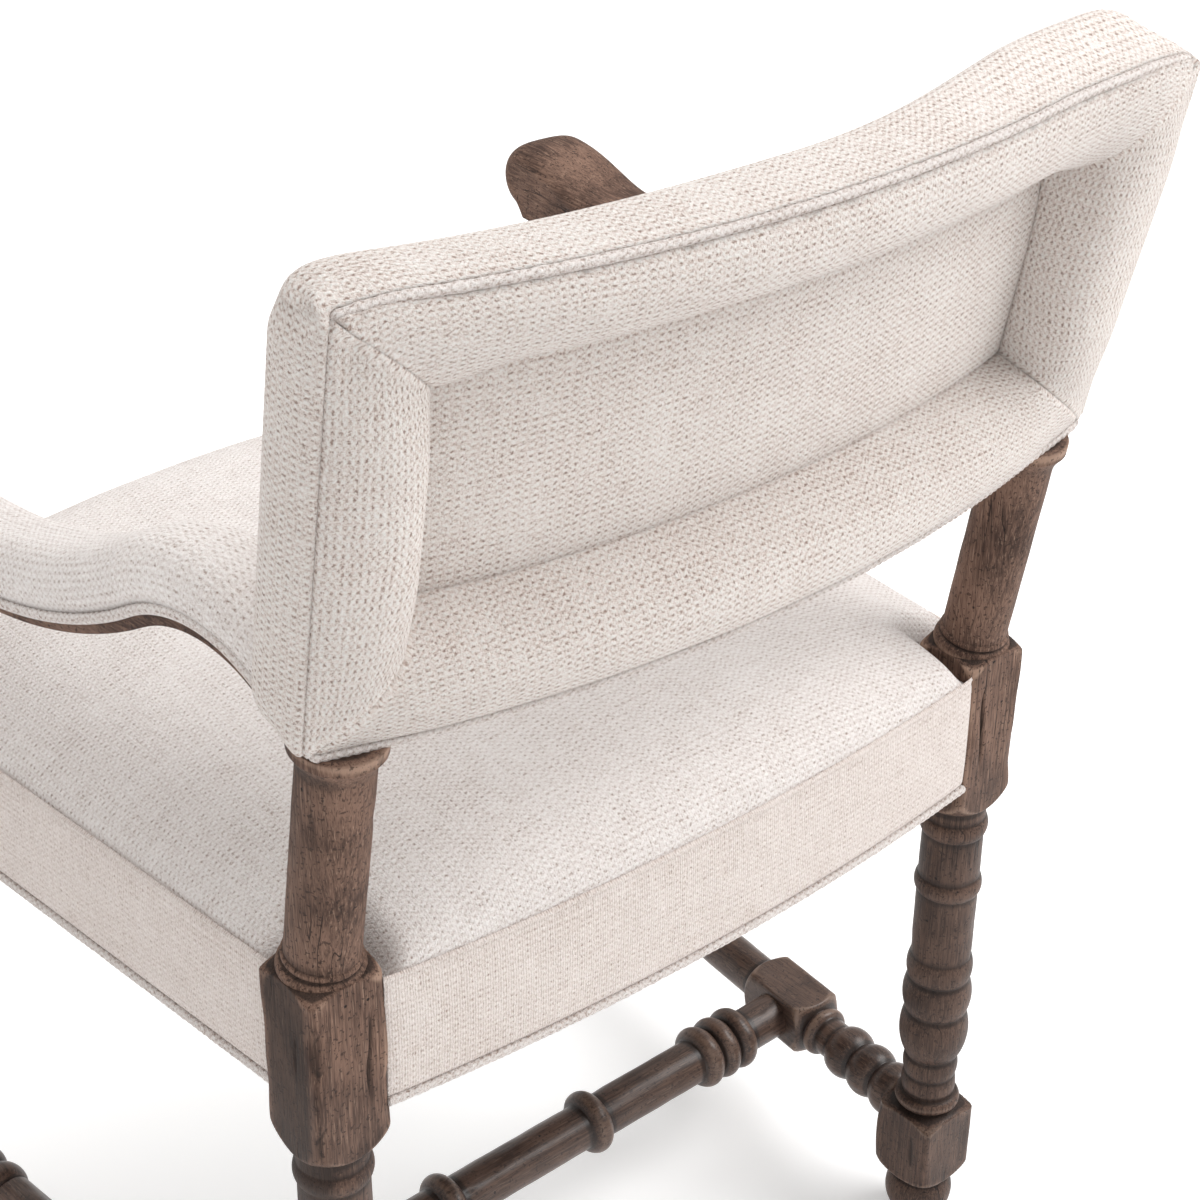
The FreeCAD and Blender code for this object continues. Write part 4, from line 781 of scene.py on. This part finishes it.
# %% Border and panel
# Sections as (distance in from the rim, depth below the rear face).
SIDE_ROLL = np.array([
    (1.5, 4), (-0.2, -0.5), (-0.7, -4), (2, -7.5), (9, -10.5), (19.5, -12.5), (31, -12.5), (42, -10),
    (50.5, -4.5), (56.5, 4), (60, 14), (62, 23), (63, 31.5)])
MITRE_ROLL = np.array([
    (3.5, 6), (2.2, 2), (2.2, -2), (7.5, -5), (14.5, -7.2), (24, -8.3), (34, -7.5), (43, -4.5), (50.5, 0),
    (56, 7), (60, 16), (62, 24), (63, 31.5)])
TOP_ROLL = np.array([
    (4.5, 9), (3.2, 5), (4.5, 1), (9, -3), (16, -5.8), (25, -6.5), (35, -4.5), (43, 0), (50, 7.5),
    (55.5, 16.5), (59, 25), (61, 31.5)])
BOTTOM_ROLL = np.array([
    (4.5, 6), (3.2, 1), (3.6, -3), (6, -6.5), (11, -9.5), (20, -11.5), (31, -10.5), (41, -5.5), (48.5, 3),
    (54.5, 13.5), (58.5, 24), (61, 31.5)])
UNDERSIDE = np.array([(58.0, 37.0), (30.0, 30.0), (6.0, 12.0)])
MITRE_FADE, MITRE_WIDTH, MITRE_DEPTH = 75.0, 1.3, 0.9


def curve_through(knots, count):
    """A smooth line through the knots, spaced evenly along its length: Catmull-Rom pieces, then resampled."""
    ends = np.concatenate([2 * knots[:1] - knots[1:2], knots, 2 * knots[-1:] - knots[-2:-1]])
    share = np.linspace(0.0, 1.0, 24, endpoint=False)[:, None, None]
    a, b, c, d = ends[:-3], ends[1:-2], ends[2:-1], ends[3:]
    fine = 0.5 * (2 * b + (c - a) * share + (2 * a - 5 * b + 4 * c - d) * share ** 2
                  + (3 * b - a - 3 * c + d) * share ** 3)
    fine = np.concatenate([fine.transpose(1, 0, 2).reshape(-1, knots.shape[1]), knots[-1:]])
    run = length_along(fine)
    places = np.linspace(0.0, run[-1], count)
    return joined(*(np.interp(places, run, part) for part in fine.T))


def border_patch(long_side, sign, knots, count):
    """A roll between two mitres. Its section runs over the stuffing and back under it.

    Away from the mitres the section is the roll's own; at a mitre it is the one both rolls share, but for the
    rim of a side roll, which stays against the cover's seam.
    """
    mitre = MITRE_ROLL if long_side else np.concatenate([knots[:3], MITRE_ROLL[3:]])
    full, shared = (curve_through(line, 46) for line in (knots, mitre))
    full, shared = (np.concatenate([face, UNDERSIDE, face[:1]]) for face in (full, shared))
    half = BACK_HALF if long_side else BACK_TALL
    place = crowded_ends(count)[:, None]
    own = smooth((1.0 - np.abs(place)) * half / MITRE_FADE)[..., None]
    inward, depth = np.moveaxis(shared + (full - shared) * own, -1, 0)
    along = place * (half - inward)
    to_mitre = (half - inward) - np.abs(along)
    seam = bell(to_mitre / MITRE_WIDTH)
    depth = depth + MITRE_DEPTH * seam
    if long_side:
        across, up = along, BACK_MID + sign * (BACK_TALL - inward)
    else:
        across, up = sign * (BACK_HALF - inward), BACK_MID + along
    across, up = rounded_corner(across, up)
    points = on_back(across, depth, up)
    points = points + np.array([0.0, 0.6, 0.1]) * ripple(points, 60.0, 7)[..., None]
    run = run_length(points.transpose(1, 0, 2)).T
    uneven = 0.6 + 0.5 * ripple(points, 9.0, 5)
    # Painted shade: darker along the mitre seams and along the lip at the rim.
    lip_shade, lip_run = (0.5, 9.5) if long_side else (0.22, 5.0)
    mark = (0.4 * seam ** 2 + lip_shade * bell((run - lip_run) / 2.0)) * uneven
    return ring_patch(points, joined(along, run), mark)


BORDERS = [("top", True, 1.0, TOP_ROLL, 240), ("bottom", True, -1.0, BOTTOM_ROLL, 240),
           ("left", False, 1.0, SIDE_ROLL, 150), ("right", False, -1.0, SIDE_ROLL, 150)]
for label, *shape in BORDERS:
    piece(f"border_roll_{label}", f"back_border_{label}", [border_patch(*shape)], COVER)
PANEL_HALF, PANEL_TALL, PANEL_DEPTH = BACK_HALF - 57.0, BACK_TALL - 57.0, 30.0
across, up = np.meshgrid(np.linspace(-1.0, 1.0, 140), np.linspace(-1.0, 1.0, 60), indexing="ij")
pillow = (1.0 - across ** 8) * (1.0 - up ** 6)
across, up = across * PANEL_HALF, up * PANEL_TALL
front = on_back(across, PANEL_DEPTH + 3.0 - 4.0 * pillow, BACK_MID + up)
behind = on_back(across, PANEL_DEPTH + 6.0, BACK_MID + up)
piece("rear_panel", "back_panel", closed_pair(front, behind, joined(across, up)), COVER)

# %% [markdown]
# ## Piping on the back
# A fold of the same cloth is sewn into the seam along the top and the bottom of the back. It is a small round
# section carried along the rim, its cloth wound round at a slant.

# %% Back piping
def tube(path, side, rise, radius, turns=12, wind=0.35):
    """A closed round section carried along a path, with the two directions its section lies in.

    The cloth coordinates run along the path and round the section, slanted by the winding.
    """
    swing = np.linspace(0.0, 2.0 * math.pi, turns + 1)
    section = np.cos(swing)[:, None] * side[:, None] + np.sin(swing)[:, None] * rise[:, None]
    points = path[:, None] + radius[:, None, None] * section
    run = run_length(path[:, None])
    round_run = swing * float(np.mean(radius))
    return ring_patch(points, joined(run + wind * round_run, round_run))


WELT_RADIUS, WELT_TWIST = 2.7, 5.2
BACK_WELTS = [("top", BACK_HIGH - 2.2, 2.4, 0.02, 3), ("bottom", BACK_LOW + 0.8, -2.6, 0.1, 4)]
for label, up, depth, twist, seed in BACK_WELTS:
    across = crowded_ends(700, 0.3) * (BACK_HALF - 1.0)
    edge_across, edge_up = rounded_corner(across, np.full_like(across, up))
    path = on_back(edge_across, depth, edge_up)
    side = on_back(edge_across, depth - 1.0, edge_up) - path
    rise = on_back(edge_across, depth, edge_up + 1.0) - path
    thick = 1.0 + twist * np.sin(across * 2.0 * math.pi / WELT_TWIST) + 0.08 * ripple(path, 12.0, seed)
    thick = WELT_RADIUS * thick * smooth((BACK_HALF - np.abs(across)) / 5.0 + 0.3)
    piece(f"back_piping_{label}", f"back_welt_{label}", [tube(path, side, rise, thick)], PIPING)

# %% [markdown]
# ## Seat
# The seat is a tight cushion: it swells from a sewn edge, most at the front, and is tucked down round the
# blocks of the legs. Its plan is bounded by two bows and two straight sides that widen to the front.

# %% Seat cushion
CREASE, SEAT_LOW, SEAT_CROWN = 492.0, 402.0, 39.0
TUCK_FLOOR, TUCK_REACH, HIDDEN_TOP, SEAT_BASE = 486.0, 11.0, 470.0, 466.0
CREASE_DEPTH, SEAT_SEAM_SHADE, SEAM_WIDTH = 3.0, 0.3, 1.2
EDGE_RISE, EDGE_REACH, PULL_DOWN, PULL_REACH = 3.2, 5.0, 2.0, 16.0
SIDE_REAR, SIDE_FRONT = REAR_Y - BLOCK / 2.0, FRONT_Y + BLOCK / 2.0
HALF_REAR, HALF_FRONT = 275.5, 305.8
SEAT_SLOPE = (HALF_FRONT - HALF_REAR) / (SIDE_REAR - SIDE_FRONT)
FRONT_ARC, REAR_ARC = 940.0, 1800.0
FRONT_CENTRE, REAR_CENTRE = FRONT_Y - 66.0 + FRONT_ARC, REAR_Y + 40.0 - REAR_ARC


def seat_half(y):
    """Half the seat's width at a place along it."""
    return HALF_REAR + (SIDE_REAR - y) * SEAT_SLOPE


def front_bow(x):
    """Where the seat's front edge runs: an arc about a centre behind it."""
    return FRONT_CENTRE - np.sqrt(FRONT_ARC ** 2 - x ** 2)


def rear_bow(x):
    """Where the seat's rear edge runs: a flatter arc about a centre in front of it."""
    return REAR_CENTRE + np.sqrt(REAR_ARC ** 2 - x ** 2)


def seat_plan(u, v):
    """Plan of the seat at shares across (-1 to 1) and back (0 to 1), settled by a few repeats."""
    y = FRONT_Y + (REAR_Y - FRONT_Y) * v
    for _ in range(6):
        x = u * seat_half(y)
        y = front_bow(x) + (rear_bow(x) - front_bow(x)) * v
    return x, y


def block_distance(x, y):
    """How far a place is from the nearest leg block, below 0 inside one."""
    gaps = []
    for leg_x, leg_y in ((REAR_X, REAR_Y), (FRONT_X, FRONT_Y)):
        dx, dy = np.abs(np.abs(x) - leg_x) - BLOCK / 2.0, np.abs(y - leg_y) - BLOCK / 2.0
        outside = np.hypot(np.maximum(dx, 0.0), np.maximum(dy, 0.0))
        gaps.append(outside + np.minimum(np.maximum(dx, dy), 0.0))
    return np.minimum(*gaps)


u, v = np.meshgrid(crowded_ends(230, 0.8), crowded_ends(204, 0.8) / 2.0 + 0.5, indexing="ij")
x, y = seat_plan(u * 0.9975, 0.0013 + v * 0.9974)
edge = np.minimum(np.minimum(seat_half(y) - np.abs(x), y - front_bow(x)), rear_bow(x) - y)
to_front, to_rear = np.clip(1.0 - v / 0.5, 0.0, 1.0), np.clip(v / 0.5 - 1.0, 0.0, 1.0)
swell = (1.0 - np.abs(u) ** 4.5) * np.sqrt(1.0 - to_front ** 14) * np.sqrt(1.0 - to_rear ** 4)
z = CREASE + SEAT_CROWN * swell + EDGE_RISE * smooth(edge / EDGE_REACH)
z = z + PULL_DOWN * smooth(edge / PULL_REACH) - PULL_DOWN
z = z - CREASE_DEPTH * np.exp(-(edge - 0.7) / 0.9)
to_block = block_distance(x, y)
tuck = bell(np.maximum(to_block, 0.0) / TUCK_REACH)
z = z - np.maximum(z - TUCK_FLOOR, 0.0) * tuck
z = np.where(to_block < -1.0, np.minimum(z, HIDDEN_TOP), z)
top = joined(x, y, z)
top[..., 2] += 0.7 * ripple(top, 75.0, 17) * smooth(edge / 25.0) * smooth(to_block / 25.0)
base = joined(*seat_plan(u * 0.985, 0.008 + v * 0.984), SEAT_BASE)
# Painted shade: a darker line along the sewn edge.
seat = closed_pair(top, base, cloth_runs(top), SEAT_SEAM_SHADE * bell(edge / SEAM_WIDTH))
piece("seat_cover", "seat_cushion", seat, LIT_SMOOTH_COVER)

# %% [markdown]
# ## The band round the seat and its piping
# Below the sewn edge a band of cloth goes down over the rails, its ends tucked in at the legs' blocks. Its
# top is rolled over the seam, it swells between its edges, and a narrow piping closes it underneath.

# %% Seat bands
BAND_HIGH, BAND_LOW, BAND_BACK = CREASE + 0.3, 408.3, -2.8
BAND_TALL, BAND_TUCK, BAND_SWELL, STITCH_AT = BAND_HIGH - BAND_LOW, 2.2, 1.8, 5.2
# The rolled top, the seam and the stitches as (height, how far down, width).
BAND_LINES = [(1.2, 1.8, 1.4), (-0.9, 0.0, 0.9), (-0.4, STITCH_AT, 1.5)]


def band_line(side, place):
    """A line in plan along one side of the seat, and the way out of the seat, at shares from -1 to 1."""
    if side in ("rear", "front"):
        reach = (REAR_X if side == "rear" else FRONT_X) - BLOCK / 2.0 + BAND_TUCK
        x = place * reach
        y = rear_bow(x) if side == "rear" else front_bow(x)
        out = joined(x, y - (REAR_CENTRE if side == "rear" else FRONT_CENTRE))
    else:
        sign = 1.0 if side == "left" else -1.0
        y = (SIDE_REAR + SIDE_FRONT) / 2.0 + place * ((SIDE_REAR - SIDE_FRONT) / 2.0 + BAND_TUCK)
        x = sign * seat_half(y)
        out = np.full((len(x), 2), (sign, SEAT_SLOPE))
    return joined(x, y), out / np.linalg.norm(out, axis=-1, keepdims=True)


def band_patch(side):
    """A closed strip: its face swells between its edges, and its back lies on the rail.

    How far the face is proud = a swell + the rolled top, less the seam, a line of stitches and the foot.
    """
    place = crowded_ends(200, 0.5)
    line, out = band_line(side, place)
    down = crowded_ends(48, 0.85) / 2.0 + 0.5
    fallen = down * BAND_TALL
    proud = BAND_SWELL * np.sin(math.pi * np.clip(down, 0.0, 1.0)) ** 0.7
    for height, at, width in BAND_LINES:
        proud = proud + height * bell((fallen - at) / width)
    proud = proud - bell((1.0 - down) * 90.0 / 2.0)
    high = BAND_HIGH - fallen
    high = np.append(high, [high[-1], high[0] - 3.5, high[0]])
    proud = np.append(proud, [BAND_BACK, BAND_BACK, proud[0]])
    run = np.append(fallen, [BAND_TALL] * 3)
    ends = 1.0 - np.exp(-(1.0 - np.abs(place)) * np.ptp(line, axis=0).max() / 2.0 / 5.0)
    off = np.where(proud > -2.0, proud * (0.4 + 0.6 * ends[:, None]) - 1.2 * (1.0 - ends[:, None]), proud)
    points = np.concatenate([line[:, None] + off[..., None] * out[:, None],
                             np.broadcast_to(high[None, :, None], off.shape + (1,))], axis=-1)
    lumps = 0.5 * ripple(points, 55.0, 29)
    points[..., :2] += lumps[..., None] * out[:, None] * np.where(proud > 0.2, 1.0, 0.0)[None, :, None]
    along = run_length(line[:, None])
    # Painted shade: a darker line below the rolled top, along the stitches.
    mark = 0.14 * bell((run - STITCH_AT) / 1.4) * (proud > -2.5) + 0.0 * along
    return ring_patch(points, joined(along, run), mark)


SEAT_WELT_RADIUS = 3.0
for side, seed in (("rear", 61), ("front", 67), ("left", 71), ("right", 73)):
    piece(f"seat_boxing_{side}", f"seat_band_{side}", [band_patch(side)], SHADED_BAND_COVER)
    line, out = band_line(side, crowded_ends(500, 0.2))
    path = np.column_stack([line - out, np.full(len(line), SEAT_LOW + SEAT_WELT_RADIUS)])
    outward = np.column_stack([out, np.zeros(len(out))])
    upward = np.broadcast_to(np.array([0.0, 0.0, 1.0]), outward.shape)
    thick = 1.0 + 0.05 * np.sin(length_along(path) * 2.0 * math.pi / 5.0) + 0.06 * ripple(path, 12.0, seed)
    piping = tube(path, outward, upward, SEAT_WELT_RADIUS * thick)
    piece(f"seat_piping_{side}", f"seat_welt_{side}", [piping], PIPING)

# %% [markdown]
# ## Arm pads
# Each arm is an S in side view: two arcs that touch. The pad's rounded section is carried along them above
# the wooden rail, thinner towards both ends, and a narrow strip of cloth wraps the rail's edge below it.

# %% Arm pads
CREST_AT, CREST, ARM_REAR_R, ARM_FRONT_R = 57.0, 201.0, 96.0, 330.0
REAR_SWING, FALL, LIFT = (math.radians(angle) for angle in (36.0, 31.4, 12.5))
ARM_STATIONS, PAD_FOOT, PAD_HALF, PAD_TALL = 260, 3.2, 28.2, 32.0
REAR_THINNER, REAR_FADE, FRONT_THINNER, FRONT_FADE = 6.0, 90.0, 4.0, 160.0


def arm_line(count):
    """Stations along the arm's top: place forward and up, the direction of lift, and the length run."""
    swing = np.concatenate([np.linspace(-REAR_SWING, FALL, count // 3)[:-1],
                            np.linspace(FALL, -LIFT, count - count // 3 + 1)])
    first = np.arange(len(swing)) < count // 3 - 1
    span = ARM_REAR_R + ARM_FRONT_R
    centre_low = CREST - ARM_REAR_R
    forward = np.where(first, CREST_AT + ARM_REAR_R * np.sin(swing),
                       CREST_AT + span * math.sin(FALL) - ARM_FRONT_R * np.sin(swing))
    up = np.where(first, centre_low + ARM_REAR_R * np.cos(swing),
                  centre_low + span * math.cos(FALL) - ARM_FRONT_R * np.cos(swing))
    return forward, up, joined(np.sin(swing), np.cos(swing)), length_along(joined(forward, up))


def on_arm(station, across, lift, sign):
    """Points of sections (across, lift) at stations along the arm of one side."""
    forward, up, aim, _ = station
    ahead_of = forward[:, None] + lift * aim[:, :1]
    height = up[:, None] + lift * aim[:, 1:]
    return flared(REAR_X, REAR_Y, across, ahead_of, BLOCK_TOP + height, sign)


def arm_pad(sign, seed):
    """The stuffed pad: a flattened arch over a flat foot, swelling out a little above its seam."""
    station = arm_line(ARM_STATIONS)
    run = station[3]
    swing = np.linspace(0.0, math.pi, 56)
    wide = np.sign(np.cos(swing)) * np.abs(np.cos(swing)) ** 0.62
    tall = np.abs(np.sin(swing)) ** 0.78
    total = run[-1]
    height = PAD_TALL - REAR_THINNER * smooth(1.0 - run / REAR_FADE)
    height = height - FRONT_THINNER * smooth((run - total + FRONT_FADE) / FRONT_FADE)
    height = height * (0.25 + 0.75 * np.sqrt(np.clip((total - run) / 9.0, 0.0, 1.0)))
    across = PAD_HALF * wide * (1.0 + 0.045 * np.sin(np.clip(tall, 0, 1) * math.pi))
    across = np.concatenate([across, [across[0]]])
    lift = np.concatenate([PAD_FOOT + height[:, None] * tall, np.full((len(run), 1), PAD_FOOT)], axis=1)
    points = on_arm(station, across, lift, sign)
    points[..., 2] += 0.5 * ripple(points, 50.0, seed) * (np.append(tall, 0.0) > 0.3)
    arch = length_along(joined(across[:-1], 30.0 * tall))
    flat = joined(run[:, None], np.append(arch, arch[-1] + 56.0))
    # Painted shade: darker along the pad's foot, where it meets the strip.
    seam = bell(np.append(tall, 0.0) / 0.09) * 0.5 + 0.0 * lift
    return ring_patch(points, flat, seam)


STRIP_RISE = 2.4
WELT_SECTION = np.array([(23.4, 0.4), (23.4, -3.4), (28.6, -3.4), (29.8, -1.8), (30, 0.2), (29.4, 2),
                         (28, 3)])
WELT_SECTION = np.concatenate([WELT_SECTION, (WELT_SECTION * (-1.0, 1.0))[::-1], WELT_SECTION[:1]])
for side, sign, seed in (("left", 1.0, 81), ("right", -1.0, 83)):
    piece(f"arm_cushion_{side}", f"arm_pad_{side}", [arm_pad(sign, seed)], LIT_SMOOTH_COVER)
    station = arm_line(ARM_STATIONS)
    run = station[3][:, None]
    raised = WELT_SECTION[:, 1] + STRIP_RISE * smooth(1.3 - run / 100.0)
    points = on_arm(station, WELT_SECTION[:, 0], raised, sign)
    strip = ring_patch(points, joined(run, length_along(WELT_SECTION)))
    piece(f"arm_strip_{side}", f"arm_welt_{side}", [strip], PIPING)

# %% [markdown]
# ## Straps and dust cloth
# Under the cushion jute straps cross from rail to rail. A thin cloth is stretched below them and sags a bit.

# %% Straps and dust cloth
STRAP_HALF = np.array([0.0, 0.0, 0.8])
SAG, DUST_MARGIN = 5.0, 15.3
for label in ("left", "middle", "right", "rear", "centre", "front"):
    low, high = (np.array(corner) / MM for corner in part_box(f"seat_web_{label}"))
    axis, cross = (1, 0) if label in ("left", "middle", "right") else (0, 1)
    long_share, wide_share = np.meshgrid(np.linspace(0.0, 1.0, 160), np.linspace(0.0, 1.0, 24), indexing="ij")
    sheet = np.zeros(long_share.shape + (3,))
    sheet[..., axis] = low[axis] + (high[axis] - low[axis]) * long_share
    sheet[..., cross] = low[cross] + (high[cross] - low[cross]) * wide_share
    sheet[..., 2] = (low[2] + high[2]) / 2.0 + 0.15 * ripple(sheet, 60.0, 91)
    over, under = sheet + STRAP_HALF, sheet - STRAP_HALF
    loop = np.concatenate([over, under[:, ::-1], over[:, :1]], axis=1)
    piece(f"jute_strap_{label}", f"seat_web_{label}", [ring_patch(loop, loop[..., [axis, cross]])], JUTE)
low, high = (np.array(corner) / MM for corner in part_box("dust_cover"))
u, v = np.meshgrid(np.linspace(-1.0, 1.0, 60), np.linspace(0.0, 1.0, 60), indexing="ij")
y = low[1] + (high[1] - low[1]) * v
x = u * (seat_half(y) - DUST_MARGIN)
sag = SAG * (1.0 - u ** 4) * (1.0 - (2.0 * v - 1.0) ** 4)
z = high[2] - 0.9 - sag + 0.4 * ripple(joined(x, y, 0.0), 90.0, 95)
dust = piece("dust_sheet", "dust_cover", [patch(joined(x, y, z), joined(x, y))], DUST_CLOTH)

# %% [markdown]
# ## Finishes on the pieces that stay as they are
# The carved arms, the rails and blocks of the frame and the glides keep their solids and get their finish.

# %% CAD pieces
KEPT = {LENGTHWISE_WOOD: ("arm_left", "arm_right"), BARE_WOOD: ("seat_rail", "corner_block", "back_rail"),
        GLIDE: ("front_glide", "rear_glide")}
for name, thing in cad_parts.items():
    for material, starts in KEPT.items():
        if name.startswith(starts):
            thing.data.materials.clear()
            thing.data.materials.append(material)
            print("finish", name, material.name)

# %% [markdown]
# ## Studio
# A pale floor that glows a little, light from all round, a broad lamp high behind the sitter's right and a
# softer one above the front of the seat.

# %% Floor and light
FLOOR_REACH, FLOOR_GLOW, SKY = 14.0, 0.3, 0.7
LAMP_AIM = Vector((0.0, 0.0, 0.55))
LAMPS = [("key", (-2.3, 1.7, 3.0), 2.2, 112.0), ("top", (0.3, -0.9, 3.3), 2.8, 42.0)]
floor_mesh = bpy.data.meshes.new("floor")
corners = [(x * FLOOR_REACH, y * FLOOR_REACH, 0) for x, y in ((-1, -1), (1, -1), (1, 1), (-1, 1))]
floor_mesh.from_pydata(corners, [], [(0, 1, 2, 3)])
floor = bpy.data.objects.new("floor", floor_mesh)
bpy.context.collection.objects.link(floor)
paper, start = finish("studio_paper")
shader = start.node("BsdfPrincipled", {
    "Base Color": (0.93, 0.93, 0.93, 1.0), "Roughness": 0.9,
    "Emission Color": (1.0, 1.0, 1.0, 1.0), "Emission Strength": FLOOR_GLOW})
start.node("OutputMaterial", {"Surface": shader})
floor_mesh.materials.append(paper)
world = bpy.data.worlds.new("studio")
bpy.context.scene.world = world
world.use_nodes = True
sky = world.node_tree.nodes["Background"].inputs
sky["Color"].default_value = (1.0, 0.99, 0.98, 1.0)
sky["Strength"].default_value = SKY
for name, place, size, power in LAMPS:
    lamp = bpy.data.lights.new(name, "AREA")
    lamp.size = size
    lamp.energy = power
    lamp_object = bpy.data.objects.new(name, lamp)
    lamp_object.location = place
    lamp_object.rotation_euler = (LAMP_AIM - Vector(place)).to_track_quat("-Z", "Y").to_euler()
    bpy.context.collection.objects.link(lamp_object)
bpy.context.scene.view_settings.view_transform = "Standard"
print("studio ready")
